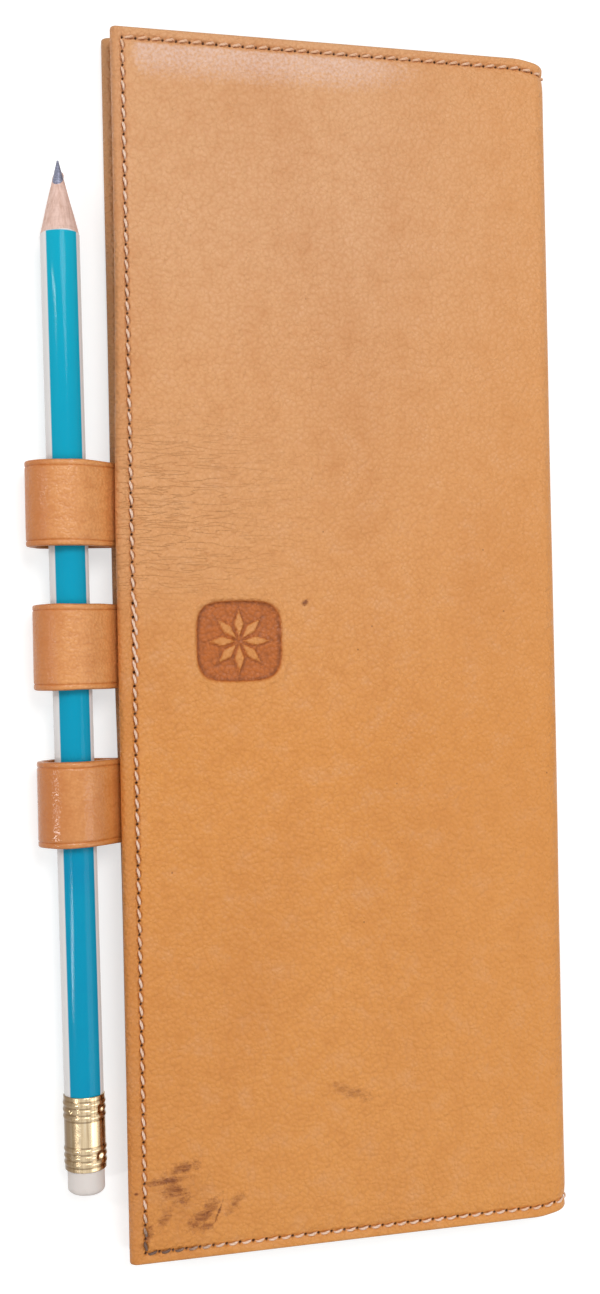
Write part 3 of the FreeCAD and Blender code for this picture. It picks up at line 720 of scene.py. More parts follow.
def pressed_grey_board(leather):
    """Board that stiffens the covers."""
    # Grey board pressed from waste paper: dull and even, with dark and pale fibres about 0.8 mm long.
    material, tree, shader = new_material("grey_board_pressed")
    place = add(tree, "TexCoord", {}, "Object")
    inputs = {"Vector": place, "Scale": 1 / (0.8 * MM), "Detail": 5.0, "Roughness": 0.7}
    fibre = add(tree, "TexNoise", inputs, "Fac")
    colour = tinted(tree, leather.board, (linear("#6F675A"), fibre, 0.45, 0.75, 0.6))
    bump = add(tree, "Bump", {"Strength": 0.3, "Distance": 0.05 * MM, "Height": fibre})
    feed(tree, shader, {"Base Color": colour, "Normal": bump, "Roughness": 0.9})
    return material


def striped_lacquer(pencil):
    """Lacquer on the pencil's barrel."""
    # Nitrocellulose lacquer dipped in several coats over white primer: wet gloss, crisp stripe edges, a
    # hair of primer at the sharpened end and faint ripples from the dipping.
    material, tree, shader, place = piece_material("nitrocellulose_lacquer_dipped")
    side, along = (add(tree, "SeparateXYZ", {"Vector": place}, axis) for axis in "XY")
    off_middle = add(tree, "Math", {0: side}, operation="ABSOLUTE")
    half_stripe = pencil.stripe_width / MM / 2
    primer_start = PAINT_END + 0.1
    # Hands have darkened patches about 12 mm long, and the stripes turn lighter towards the point, a painted
    # reflection of the light on the upper barrel.
    handled = add(tree, "TexNoise", {"Vector": place, "Scale": 1 / 12, "Detail": 4.0}, "Fac")
    colour = tinted(
        tree,
        pencil.stripe,
        (linear("#0080B0"), handled, 0.45, 0.75, 0.4),
        # Painted reflection: the stripes turn lighter towards the point.
        (linear("#0CB4CE"), along, 70.0, 175.0, 0.75),
        (pencil.side, off_middle, half_stripe - 0.05, half_stripe + 0.05, 1.0),
        (pencil.side, along, primer_start, primer_start + 0.15, 1.0),
    )
    # The ripples are about 2.5 mm wide and 30 mm long.
    stretched = add(tree, "Mapping", {"Vector": place, "Scale": (1 / 2.5, 1 / 30, 1 / 2.5)})
    dipped = add(tree, "TexNoise", {"Vector": stretched, "Scale": 1.0, "Detail": 2.0}, "Fac")
    bump = add(tree, "Bump", {"Strength": 0.25, "Distance": 0.12 * MM, "Height": dipped})
    shine = {"Roughness": 0.1, "Specular IOR Level": 0.12}
    feed(tree, shader, {"Base Color": colour, "Normal": bump, **shine})
    return material


def sharpened_cedar(pencil):
    """Bare wood of the pencil's point."""
    # Incense cedar cut by a sharpener's blade: pinkish, dull, with fine dark grain along the pencil and blade
    # marks round it.
    material, tree, shader, place = piece_material("incense_cedar_sharpened")
    # Cedar's rings are about 0.5 mm apart. Their long streaks are drawn about 7 mm long.
    stretched = add(tree, "Mapping", {"Vector": place, "Scale": (1 / 0.5, 1 / 7, 1 / 0.5)})
    inputs = {"Vector": stretched, "Scale": 1.0, "Detail": 4.0, "Roughness": 0.65}
    streak = add(tree, "TexNoise", inputs, "Fac")
    # Blade marks are about 0.35 mm apart and 6 mm long.
    rings = add(tree, "Mapping", {"Vector": place, "Scale": (1 / 6, 1 / 0.35, 1 / 6)})
    blade = add(tree, "TexNoise", {"Vector": rings, "Scale": 1.0, "Detail": 2.0}, "Fac")
    colour = tinted(
        tree,
        pencil.cedar,
        (pencil.cedar_dark, streak, 0.42, 0.72, 0.85),
        (pencil.cedar_dark, blade, 0.5, 0.8, 0.35),
    )
    height = add(tree, "Math", {0: blade, 1: 0.5, 2: streak}, operation="MULTIPLY_ADD")
    bump = add(tree, "Bump", {"Strength": 0.5, "Distance": 0.08 * MM, "Height": height})
    feed(tree, shader, {"Base Color": colour, "Normal": bump, "Roughness": 0.7})
    return material


def ground_graphite(pencil):
    """Lead of the pencil."""
    # Graphite fired with clay and ground by the sharpener: grey with a metallic gleam and fine scratches
    # round it. Real scratches are too fine to show, so they are drawn 0.25 mm apart.
    material, tree, shader, place = piece_material("graphite_fired_ground")
    rings = add(tree, "Mapping", {"Vector": place, "Scale": (1 / 0.5, 1 / 0.25, 1 / 0.5)})
    inputs = {"Vector": rings, "Scale": 1.0, "Detail": 4.0, "Roughness": 0.7}
    scratch = add(tree, "TexNoise", inputs, "Fac")
    colour = tinted(tree, pencil.graphite, (linear("#3A3B46"), scratch, 0.42, 0.7, 0.8))
    bump = add(tree, "Bump", {"Strength": 0.5, "Distance": 0.06 * MM, "Height": scratch})
    feed(tree, shader, {"Base Color": colour, "Normal": bump, "Metallic": 0.4, "Roughness": 0.38})
    return material


def gilt_strip(pencil):
    """Metal of the ferrule."""
    # Thin aluminium strip lacquered gold, rolled to a tube and crimped: a bright mirror streaked along the
    # roll, partly its own drawn tone and partly painted reflections, with dull scuffs on the rings, darker
    # creases between them and one side darkened with a painted reflection of dark surroundings.
    material, tree, shader, place = piece_material("gilt_strip_rolled_crimped")
    side = add(tree, "SeparateXYZ", {"Vector": place}, "X")
    groove = add(tree, "Attribute", {}, "Fac", attribute_name="groove")
    # The streaks are about 1.2 mm wide and 40 mm long, and the scuffs 1.2 mm wide.
    stretched = add(tree, "Mapping", {"Vector": place, "Scale": (1 / 1.2, 1 / 40, 1 / 1.2)})
    inputs = {"Vector": stretched, "Scale": 1.0, "Detail": 4.0, "Roughness": 0.65}
    drawn = add(tree, "TexNoise", inputs, "Fac")
    inputs = {"Vector": place, "Scale": 1 / 1.2, "Detail": 5.0, "Roughness": 0.7}
    scuff = add(tree, "TexNoise", inputs, "Fac")
    colour = tinted(
        tree,
        pencil.ferrule,
        # Dark and pale streaks along the roll: the metal's drawn tone, and painted reflections of the room.
        (linear("#8E6E48"), drawn, 0.46, 0.66, 0.75),
        (linear("#F3E6CE"), drawn, 0.44, 0.32, 0.8),
        (linear("#7A5A36"), scuff, 0.58, 0.75, 0.35),
        # Darker in the creases between the rings.
        (linear("#5E4226"), groove, 0.3, 1.0, 0.7),
        # Painted reflection: the left side is darkened as if it mirrored dark surroundings.
        (linear("#6B5338"), side, -0.9, -3.0, 0.85),
    )
    inputs = {"Value": scuff, "From Min": 0.4, "From Max": 0.7, "To Min": 0.16, "To Max": 0.34}
    rough = add(tree, "MapRange", inputs)
    bump = add(tree, "Bump", {"Strength": 0.15, "Distance": 0.05 * MM, "Height": drawn})
    feed(tree, shader, {"Base Color": colour, "Normal": bump, "Metallic": 1.0, "Roughness": rough})
    return material


def moulded_eraser_rubber(pencil):
    """Rubber of the eraser."""
    # White vinyl rubber, moulded and rubbed on paper: matt and slightly see-through, with grey smudges about
    # 1.5 mm wide at its worn end.
    material, tree, shader, place = piece_material("vinyl_rubber_moulded")
    along = add(tree, "SeparateXYZ", {"Vector": place}, "Y")
    inputs = {"Vector": place, "Scale": 1 / 1.5, "Detail": 5.0, "Roughness": 0.65}
    smudge = add(tree, "TexNoise", inputs, "Fac")
    inputs = {"Value": along, "From Min": 3.0, "From Max": 0.0, "To Min": 0.15, "To Max": 1.0}
    worn = add(tree, "MapRange", inputs)
    worn = add(tree, "Math", {0: worn, 1: smudge}, operation="MULTIPLY")
    colour = tinted(tree, pencil.eraser, (linear("#B9AEA6"), worn, 0.3, 0.75, 0.7))
    bump = add(tree, "Bump", {"Strength": 0.4, "Distance": 0.08 * MM, "Height": smudge})
    soft = {"Subsurface Weight": 0.15, "Subsurface Radius": (1.0, 0.8, 0.7), "Subsurface Scale": MM}
    feed(tree, shader, {"Base Color": colour, "Normal": bump, "Roughness": 0.75, **soft})
    return material


def turned_over(vector, front, level=0.0):
    """The same place or direction on the front cover, which lies upside down above the back one."""
    return Vector((vector.x, vector.y, level - vector.z)) if front else vector


def bend_over_fold(piece):
    """Bakes a piece's placing into its points; the piece is already shaped round the fold."""
    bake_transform(piece)


def leather_section():
    """One cover's leather seen from its end, as it lies on the floor.

    Each step round it has the grain point, the flesh point, the grain's normal, and the run along the grain,
    which is the place across the case on the flat face.
    """
    steps = []
    hem_start = HEM_X - math.pi * HEM_RADIUS
    for x in spread(FLAP_END_X, HEM_X, 8)[:-1]:
        share = (x - FLAP_END_X) / (HEM_X - FLAP_END_X)
        flesh = (FLAP_END_X + share * (SLOT_X - FLAP_END_X), COVER - HEM_FLAP)
        steps.append(((x, COVER), flesh, (0, 1), hem_start - (x - HEM_X)))
    for turn in spread(math.pi / 2, math.pi * 1.5, 16)[:-1]:
        normal = (math.cos(turn), math.sin(turn))
        grain = (HEM_X + HEM_RADIUS * normal[0], HEM_RADIUS + HEM_RADIUS * normal[1])
        flesh = (SLOT_X + SLOT_RADIUS * normal[0], LEATHER + SLOT_RADIUS + SLOT_RADIUS * normal[1])
        steps.append((grain, flesh, normal, HEM_X - HEM_RADIUS * (math.pi * 1.5 - turn)))
    face = stations(HEM_X, FOLD_X, 2.0, [
        (END_HOLES, HOLE_STATIONS),
        ([SEAM_X], GROOVE_STATIONS),
        ([STAMP_X - STAMP_WIDE, STAMP_X + STAMP_WIDE], STAMP_STATIONS),
        ([STAMP_X], spread(-7.0, 7.0, 46)),
    ])
    for x in face[:-1]:
        share = (x - HEM_X) / (FOLD_X - HEM_X)
        steps.append(((x, 0.0), (SLOT_X + share * (FOLD_X - SLOT_X), LEATHER), (0, -1), x))
    inner = FOLD_RADIUS - LEATHER
    for turn in spread(-math.pi / 2, 0, 14)[:-1]:
        normal = (math.cos(turn), math.sin(turn))
        grain = (FOLD_X + FOLD_RADIUS * normal[0], FOLD_RADIUS + FOLD_RADIUS * normal[1])
        flesh = (FOLD_X + inner * normal[0], FOLD_RADIUS + inner * normal[1])
        steps.append((grain, flesh, normal, FOLD_X + FOLD_RADIUS * (turn + math.pi / 2)))
    for z in spread(FOLD_RADIUS, THICK / 2, 3):
        run = FOLD_X + FOLD_RUN + z - FOLD_RADIUS
        steps.append(((HALF_WIDTH, z), (HALF_WIDTH - LEATHER, z), (1, 0), run))
    return steps


def stamped(across, along):
    """How deep the stamped square is at a place from its middle, from 0 to 1, and how dark it is there.

    It is a sunk square with bulging sides, in which a rosette of pointed petals is left standing.
    """
    reach = ((across * STAMP_HALF / STAMP_WIDE) ** 4 + along**4) ** 0.25
    sunk = 1 - smooth_step(reach, STAMP_HALF - 0.4, STAMP_HALF + 0.2)
    radius = math.hypot(across, along)
    petal = math.tau / PETALS
    turn = (math.atan2(along, across) + petal / 2) % petal - petal / 2
    outward = radius * math.cos(turn)
    inside = PETAL_WIDTH * (1 - abs(outward - PETAL_MIDDLE) / PETAL_HALF) - radius * abs(math.sin(turn))
    raised = smooth_step(inside, -0.12, 0.2)
    lip = bell(reach - STAMP_HALF - 0.6, 0.4)
    # The rim and the petals' outlines are darker: partly burnt by the hot stamp, partly painted shade along
    # the sunk walls.
    burn_and_shade = 0.8 * bell(reach - STAMP_HALF + 0.3, 0.35) + 0.5 * bell(inside + 0.25, 0.2)
    return sunk * (1 - 0.7 * raised) - 0.4 * lip, sunk * (1 - 0.8 * raised + burn_and_shade * (1 - raised))


def cover_dip(run, along, front, leather):
    """Depth of the grain below its flat level in millimetres, with the strength of holes and of the stamp."""
    left_gap = abs(run - SEAM_X)
    end_gap = abs(abs(along) - SEAM_Y)
    gap = hole_gap = math.hypot(left_gap, end_gap)
    if abs(along) <= SEAM_Y:
        gap = min(gap, left_gap)
        hole_gap = min(hole_gap, math.hypot(left_gap, nearest(along, LEFT_HOLES)))
    if run >= SEAM_X:
        holes = END_HOLES if run < FOLD_X + SEAM_PITCH / 2 else FOLD_HOLES
        gap = min(gap, end_gap)
        hole_gap = min(hole_gap, math.hypot(end_gap, nearest(run, holes)))
    hole = bell(hole_gap, HOLE_WIDTH)
    dip = leather.groove_depth / MM * bell(gap, GROOVE_WIDTH)
    dip += PULL_DEPTH * bell(gap, PULL_WIDTH) + HOLE_DEPTH * hole
    seed = 0.5 if front else 7.5
    dip += WAVE_DEPTH * noise.noise(Vector((run / WAVE_LENGTH, along / WAVE_LENGTH, seed)))
    stamp = 0.0
    if front and max(abs(run - STAMP_X), abs(along - STAMP_Y)) < STAMP_WIDE + 2:
        depth, stamp = stamped(run - STAMP_X, along - STAMP_Y)
        dip += leather.stamp_depth / MM * depth
    return dip, hole, stamp


def hem_place(x, along, front):
    """Place across the case of a point at the hem, which is turned in further at one end of the cover."""
    if x > SEAM_X:
        return x
    share, start, full = FRONT_TAPER if front else BACK_TAPER
    further = share * smooth_step(along, start, full)
    return SEAM_X + (x - SEAM_X) * (1 - further)


def drawn_in(along, run):
    """Place along the case of a point near a cover's end, which the seam draws in round the fold."""
    round_fold = smooth_step(run, FOLD_X - CORNER_START, FOLD_X + FOLD_RUN)
    near_end = smooth_step(abs(along), HALF_LENGTH - CORNER_REACH, HALF_LENGTH)
    return along - math.copysign(CORNER_DRAW * round_fold * near_end, along)


def rounded_end(gap, radius):
    """How far a surface curls in at a distance from a cut end that is rounded over."""
    short = max(radius - gap, 0)
    return radius - math.sqrt(radius * radius - short * short)


def cover_leather(cover, leather, material):
    """A cover's leather as one thick sheet, from its turned flap round the hem and fold to half the spine."""
    front = cover == "front"
    section = leather_section()
    width = len(section)
    ends = (-HALF_LENGTH, HALF_LENGTH)
    rows = stations(-HALF_LENGTH, HALF_LENGTH, 2.5, [
        (LEFT_HOLES, HOLE_STATIONS),
        ([-SEAM_Y, SEAM_Y], GROOVE_STATIONS),
        (ends, CUT_STATIONS),
        ([STAMP_Y - STAMP_HALF, STAMP_Y + STAMP_HALF], STAMP_STATIONS),
        ([STAMP_Y], spread(-6.6, 6.6, 44)),
    ])
    back_rows = stations(-HALF_LENGTH, HALF_LENGTH, 8.0, [(ends, (-0.25, 0.25))])
    points = []
    masks = {"hole": [], "stamp": [], "edge": []}
    for along in rows:
        gap = HALF_LENGTH - abs(along)
        for (x, z), _, normal, run in section:
            dip, hole, stamp = cover_dip(run, along, front, leather)
            depth = dip + rounded_end(gap, CUT_ROUND)
            x = hem_place(x - normal[0] * depth, along, front)
            place = Vector((x, drawn_in(along, run), z - normal[1] * depth))
            points.append(turned_over(place, front, THICK))
            masks["hole"].append(hole)
            masks["stamp"].append(stamp)
            masks["edge"].append(1 - smooth_step(gap, 0.05, 0.4))
    for along in back_rows:
        for _, (x, z), _, run in section:
            place = Vector((hem_place(x, along, front), drawn_in(along, run), z))
            points.append(turned_over(place, front, THICK))
    hidden = len(back_rows) * width
    for mask, value in (("hole", 0.0), ("stamp", 0.0), ("edge", 1.0)):
        masks[mask] += [value] * hidden
    start = len(rows) * width
    faces = grid(len(rows), width) + grid(len(back_rows), width, start)
    for column in (0, width - 1):
        grain = [row * width + column for row in range(len(rows))]
        flesh = [start + row * width + column for row in range(len(back_rows))]
        faces += zip_runs(grain, flesh, points, 1)
    for grain, flesh in ((0, start), (start - width, start + hidden - width)):
        faces += [(grain + c, grain + c + 1, flesh + c + 1, flesh + c) for c in range(width - 1)]
    piece = make_piece(f"{cover}_cover_leather", points, faces, [material], masks=masks)
    bend_over_fold(piece)
    return piece


def cover_lining(cover, material):
    """A cover's lining as one thin sheet, raised over the board and turned up the inside of the fold."""
    front = cover == "front"
    rows = stations(-LINING_EDGE_Y, LINING_EDGE_Y, 8.0, [
        ([-RAISED_Y, RAISED_Y], spread(-0.9, 0.9, 8)),
        ([-LINING_EDGE_Y, LINING_EDGE_Y], (-0.15, 0.15)),
    ])
    flat = stations(LINING_EDGE_X, FOLD_X, 6.0, [
        ([RAISED_LEFT], (-0.25, -0.15, 0.0, 0.15, 0.25)),
        ([RAISED_RIGHT], spread(-0.7, 0.7, 7)),
    ])
    level = LEATHER + LINING
    inner = FOLD_RADIUS - level
    points = []
    for side, inward in ((0.0, -1), (LINING, 1)):
        for along in rows:
            on_board = 1 - smooth_step(abs(along), RAISED_Y - 0.7, RAISED_Y + 0.7)
            rounded = rounded_end(LINING_EDGE_Y - abs(along), LINING_ROUND) * inward
            for x in flat:
                raised = on_board * smooth_step(x, RAISED_LEFT - 0.25, RAISED_LEFT + 0.2)
                raised *= 1 - smooth_step(x, RAISED_RIGHT - 0.7, RAISED_RIGHT + 0.5)
                points.append((x, drawn_in(along, x), level + BOARD * raised - side + rounded))
            radius = inner + side
            for turn in spread(-math.pi / 2, 0, 8)[1:]:
                y = drawn_in(along, FOLD_X + FOLD_RADIUS * (turn + math.pi / 2))
                points.append((FOLD_X + radius * math.cos(turn), y, FOLD_RADIUS + radius * math.sin(turn)))
            for z in spread(FOLD_RADIUS, THICK / 2, 2)[1:]:
                points.append((FOLD_X + radius, drawn_in(along, FOLD_X + FOLD_RUN), z))
    points = [turned_over(Vector(point), front, THICK) for point in points]
    faces = sheet_faces(len(rows), len(points) // (2 * len(rows)))
    piece = make_piece(f"{cover}_cover_lining", points, faces, [material])
    bend_over_fold(piece)
    return piece


def lay_stitch(work, path, start, stop, leather, slant=STITCH_SLANT, lift=0.0):
    """Adds one stitch between two needle holes: two twisted plies that arch from one hole to the next."""
    first = len(work["points"])
    start += leather.stitch_gap / MM / 2
    stop -= leather.stitch_gap / MM / 2
    for step in range(STITCH_STEPS + 1):
        share = step / STITCH_STEPS
        place, normal, direction = path(start + (stop - start) * share)
        side = normal.cross(direction)
        arch = 1 - (2 * share - 1) ** 4
        girth = leather.thread_width / MM / 2 * (STITCH_END + (1 - STITCH_END) * arch)
        middle = place + normal * ((STITCH_ARCH + lift) * arch - STITCH_SUNK) + side * slant * (1 - 2 * share)
        for number in range(STITCH_SIDES):
            angle = math.tau * number / STITCH_SIDES
            ply = abs(math.cos(angle - STITCH_TWIST * share))
            around = side * math.cos(angle) + normal * math.sin(angle) * STITCH_FLAT
            work["points"].append(middle + around * girth * (1 - PLY_HOLLOW + PLY_HOLLOW * ply))
            # Nearness to the groove between the plies, which sets the thread's painted shade there.
            work["ply"].append(1 - ply)
    last = len(work["points"]) - STITCH_SIDES
    work["faces"] += grid(STITCH_STEPS + 1, STITCH_SIDES, first, round_columns=True)
    work["faces"] += [tuple(range(ring, ring + STITCH_SIDES)) for ring in (first, last)]


def sew(work, path, holes, leather, **way):
    """Adds the stitches of a seam, one between each two needle holes."""
    for start, stop in zip(holes, holes[1:]):
        lay_stitch(work, path, start, stop, leather, **way)


def straight_seam(origin, direction, normal):
    """Path of a straight seam: its place, outward normal and direction at a run from its origin."""
    origin, direction, normal = Vector(origin), Vector(direction), Vector(normal)
    return lambda run: (origin + direction * run, normal, direction)


def end_seam(along, front):
    """Path of the seam along one end of a cover, over the face and round the fold."""

    def path(run):
        turn = max(run - FOLD_X, 0) / FOLD_RADIUS - math.pi / 2
        normal = Vector((math.cos(turn), 0, math.sin(turn)))
        place = Vector((min(run, FOLD_X), drawn_in(along, run), FOLD_RADIUS)) + normal * FOLD_RADIUS
        direction = Vector((-math.sin(turn), 0, math.cos(turn)))
        return turned_over(place, front, THICK), turned_over(normal, front), turned_over(direction, front)

    return path


def thread_piece(name, work, material):
    """One piece from all the stitches of a seam."""
    piece = make_piece(name, work["points"], work["faces"], [material], masks={"ply": work["ply"]}, crease=80)
    return piece


def new_thread():
    """An empty store for stitches."""
    return {"points": [], "faces": [], "ply": []}


def cover_seam(cover, leather, material):
    """The seam round a cover, as it shows outside and inside. The front's is doubled by the middle loop."""
    front = cover == "front"
    work = new_thread()
    out = 1 if front else -1
    outer_z = THICK if front else 0.0
    inner_z = THICK - COVER if front else COVER
    margin_z = THICK - LEATHER - LINING if front else LEATHER + LINING
    left = straight_seam((SEAM_X, 0, outer_z), (0, 1, 0), (0, 0, out))
    beside = straight_seam((SEAM_X + DOUBLED_SHIFT, 0, outer_z), (0, 1, 0), (0, 0, out))
    left_inside = straight_seam((SEAM_X, 0, inner_z), (0, 1, 0), (0, 0, -out))
    slant = -STITCH_SLANT * out
    for start, stop in zip(LEFT_HOLES, LEFT_HOLES[1:]):
        lay_stitch(work, left, start, stop, leather, slant)
        middle = (start + stop) / 2
        under_loop = any(abs(middle - along) < LOOP_HALF + SEAM_PITCH / 2 for along in LOOPS.values())
        if front or not under_loop:
            lay_stitch(work, left_inside, start, stop, leather, slant)
        if front and abs(middle) < DOUBLED_HALF:
            lay_stitch(work, beside, middle, middle + stop - start, leather, slant, lift=DOUBLED_LIFT)
    clear_holes = [hole for hole in END_HOLES if hole >= FLAP_END_X]
    for along in (-SEAM_Y, SEAM_Y):
        sew(work, end_seam(along, front), END_HOLES + FOLD_HOLES, leather, slant=slant)
        inside = straight_seam((0, along, margin_z), (1, 0, 0), (0, 0, -out))
        sew(work, inside, clear_holes, leather, slant=slant)
    piece = thread_piece(f"{cover}_cover_seam", work, material)
    bend_over_fold(piece)
    return piece


def loop_middle_line(node, along):
    """Middle line of a strap, in x and z: from its upper root round the pencil and back to its lower root."""
    radius = LOOP_OUTER - STRAP / 2
    near = OPENING_X - PENCIL_OFFSET + along * PENCIL_AXIS.x / PENCIL_AXIS.y
    far = box_mm(node)[0].x + LOOP_OUTER
    upper = COVER + STRAP * 1.5
    lower = COVER + STRAP * 0.5
    leave = []
    for neck, hand in ((upper, 1), (lower, -1)):
        reach = math.hypot(near - OPENING_X, LOOP_OUTER - neck)
        bearing = math.atan2(neck - LOOP_OUTER, OPENING_X - near)
        leave.append(bearing + hand * math.acos(radius / reach))
    top = math.pi / 2
    bottom = math.pi * 1.5
    line = [(x, upper) for x in spread(ROOT_X, OPENING_X, 24)]
    for middle, start, stop, steps in (
        (near, leave[0], top, 12),
        (far, top, bottom, 34),
        (near, bottom, math.tau + leave[1], 12),
    ):
        for turn in spread(start, stop, steps):
            line.append((middle + radius * math.cos(turn), LOOP_OUTER + radius * math.sin(turn)))
    return line + [(x, lower) for x in spread(OPENING_X, ROOT_X, 24)]


def evened(line, step, passes):
    """A line walked at even steps, its corners then eased by averaging each point with its neighbours."""
    walked = [Vector(line[0])]
    for corner in map(Vector, line[1:]):
        while (corner - walked[-1]).length > step:
            walked.append(walked[-1] + (corner - walked[-1]).normalized() * step)
    walked.append(Vector(line[-1]))
    for _ in range(passes):
        eased = [(a + b * 2 + c) / 4 for a, b, c in zip(walked, walked[1:], walked[2:])]
        walked = [walked[0], *eased, walked[-1]]
    return walked


def strap_profile():
    """Strap seen from its cut end: places across it with offsets from its middle, creased near both edges."""
    half = STRAP / 2 - 0.02
    rim = [
        (STRAP_FLAT, half),
        (7.1, half),
        (6.85, half - 0.02),
        (STRAP_CREASE, half - CREASE_DEPTH),
        (6.5, half - 0.02),
        (6.2, half),
    ]
    face = rim + [(across, half) for across in (4.0, 2.0, 0.0, -2.0, -4.0)]
    face += [(-across, offset) for across, offset in reversed(rim)]
    edge = [(-STRAP_BEVEL, half - 0.16), (-LOOP_HALF, 0.0), (-STRAP_BEVEL, 0.16 - half)]
    inside = [(across, -half) for across in (-STRAP_FLAT, -4.0, 0.0, 4.0, STRAP_FLAT)]
    far_edge = [(-across, -offset) for across, offset in edge]
    return face + edge + inside + far_edge


def strap_loop(node, along, material):
    """One strap loop: a creased strap swept round the pencil, both ends lying between the covers."""
    line = evened(loop_middle_line(node, along), 0.5, 5)
    profile = strap_profile()
    points = []
    masks = {"edge": [], "bend": []}
    for number, here in enumerate(line):
        before = line[max(number - 1, 0)]
        after = line[min(number + 1, len(line) - 1)]
        direction = (after - before).normalized()
        normal = Vector((direction.y, -direction.x))
        for across, offset in profile:
            wave = 0.12 * noise.noise(Vector((number * 0.09, across, along))) * abs(across) / LOOP_HALF
            place = here + normal * offset
            points.append((place.x, along + across + wave, place.y))
            # How far the strap faces left, which sets its painted shade.
            masks["bend"].append(max(-normal.x, 0.0))
            # The outside is dark in its crease, partly the creaser's own darkening and partly painted shade
            # in the groove, and the inside is darkened all over.
            dark = 0.8 * bell(abs(across) - STRAP_CREASE, 0.15) if offset > 0 else 0.6
            masks["edge"].append(max(smooth_step(abs(across), 7.4, LOOP_HALF), dark))
    width = len(profile)
    faces = grid(len(line), width, round_columns=True)
    faces += [tuple(range(width)), tuple(range(len(points) - width, len(points)))]
    piece = make_piece(node + "_strap", points, faces, [material], masks=masks, crease=60)
    return piece


def panel_layout(node, channels):
    """A panel's lowest and highest corner, its seams' places across the case, and its closed end's seam."""
    low, high = box_mm(node)
    spacing = (high.x - low.x - PANEL_SEAM) / channels
    columns = [low.x + PANEL_SEAM / 2 + spacing * number for number in range(channels + 1)]
    return low, high, columns, low.y + PANEL_SEAM / 2


def sewn_panel(node, channels, front, leather, material):
    """A panel sewn to the lining: flat along its seams, swollen between and creased below its open edge."""
    low, high, columns, bottom = panel_layout(node, channels)
    across = stations(low.x, high.x, 1.5, [
        ((low.x, high.x), RIM_STATIONS),
        (columns, (-PANEL_FLAT, -0.5, -0.25, 0.0, 0.25, 0.5, PANEL_FLAT)),
    ])
    rows = stations(low.y, high.y, 4.0, [
        ((low.y, high.y), RIM_STATIONS),
        ([bottom], (-0.5, -0.25, 0.0, 0.25, 0.5, PANEL_FLAT)),
        ([high.y - PANEL_CREASE], (-0.4, -0.2, 0.0, 0.2, 0.4)),
    ])
    thick = high.z - low.z
    points = []
    edge = []
    for outer in (True, False):
        for along in rows:
            crease = 0.15 * bell(along - high.y + PANEL_CREASE, 0.25)
            for x in across:
                gap = min(x - low.x, high.x - x, along - low.y, high.y - along)
                seam_gap = min(nearest(x, columns), abs(along - bottom))
                inside = smooth_step(min(nearest(x, columns), along - bottom), PANEL_FLAT, 5.0)
                if outer:
                    z = thick + leather.sleeve_swell / MM * inside - 0.25 * bell(seam_gap, 0.4)
                    z -= crease + rounded_end(gap, 0.4)
                else:
                    z = 0.4 * smooth_step(inside, 0.0, 0.4) + rounded_end(gap, 0.2)
                points.append((x, along, high.z - z if front else low.z + z))
                # Cut edges darken, and the crease below the open edge is darkened with painted shade.
                edge.append(max(1 - smooth_step(gap, 0.05, 0.45), crease * 3))
    faces = sheet_faces(len(rows), len(across))
    piece = make_piece(node + "_leather", points, faces, [material], masks={"edge": edge})
    return piece


def panel_seams(node, channels, front, leather, material):
    """Stitches between and beside a panel's channels and along its closed end."""
    low, high, columns, bottom = panel_layout(node, channels)
    level = low.z if front else high.z
    normal = (0, 0, -1 if front else 1)
    work = new_thread()
    for column in columns:
        path = straight_seam((column, 0, level), (0, 1, 0), normal)
        sew(work, path, seam_holes(bottom, high.y, PANEL_PITCH), leather)
    path = straight_seam((0, bottom, level), (1, 0, 0), normal)
    for near, far in zip(columns, columns[1:]):
        sew(work, path, seam_holes(near, far, PANEL_PITCH), leather)
    return thread_piece(node + "_seams", work, material)


def turned(rings, sides, wobble=None, hollow=False):
    """Points, rest places and faces of a form turned about the pencil's axis, from (along, radius) rings.

    wobble(along, radius, angle) may give another along and radius there. A hollow form's last ring meets its
    first.
    """
    start = Vector((0, PENCIL_TIP_Y, PENCIL_HEIGHT)) - PENCIL_AXIS * PENCIL_LENGTH
    start.x = OPENING_X - PENCIL_OFFSET + start.y * PENCIL_AXIS.x / PENCIL_AXIS.y
    up = Vector((0, 0, 1))
    side = PENCIL_AXIS.cross(up)
    points = []
    places = []
    for along, radius in rings:
        for number in range(sides):
            angle = math.tau * number / sides
            here, wide = wobble(along, radius, angle) if wobble else (along, radius)
            places.append((wide * math.sin(angle), here, wide * math.cos(angle)))
            points.append(start + PENCIL_AXIS * here + side * places[-1][0] + up * places[-1][2])
    faces = grid(len(rings), sides, round_rows=hollow, round_columns=True)
    if not hollow:
        faces += [tuple(range(sides)), tuple(range(len(points) - sides, len(points)))]
    return points, places, faces


def ripple(angle, seed, fineness):
    """Even noise round a turned form, from -1 to 1."""
    return noise.noise(Vector((math.cos(angle) * fineness, math.sin(angle) * fineness, seed)))


def point_radius(along):
    """Radius of the sharpened point's cone."""
    share = (PENCIL_LENGTH - along) / POINT_LENGTH
    return LEAD_TIP + (PENCIL_RADIUS - LEAD_TIP) * share


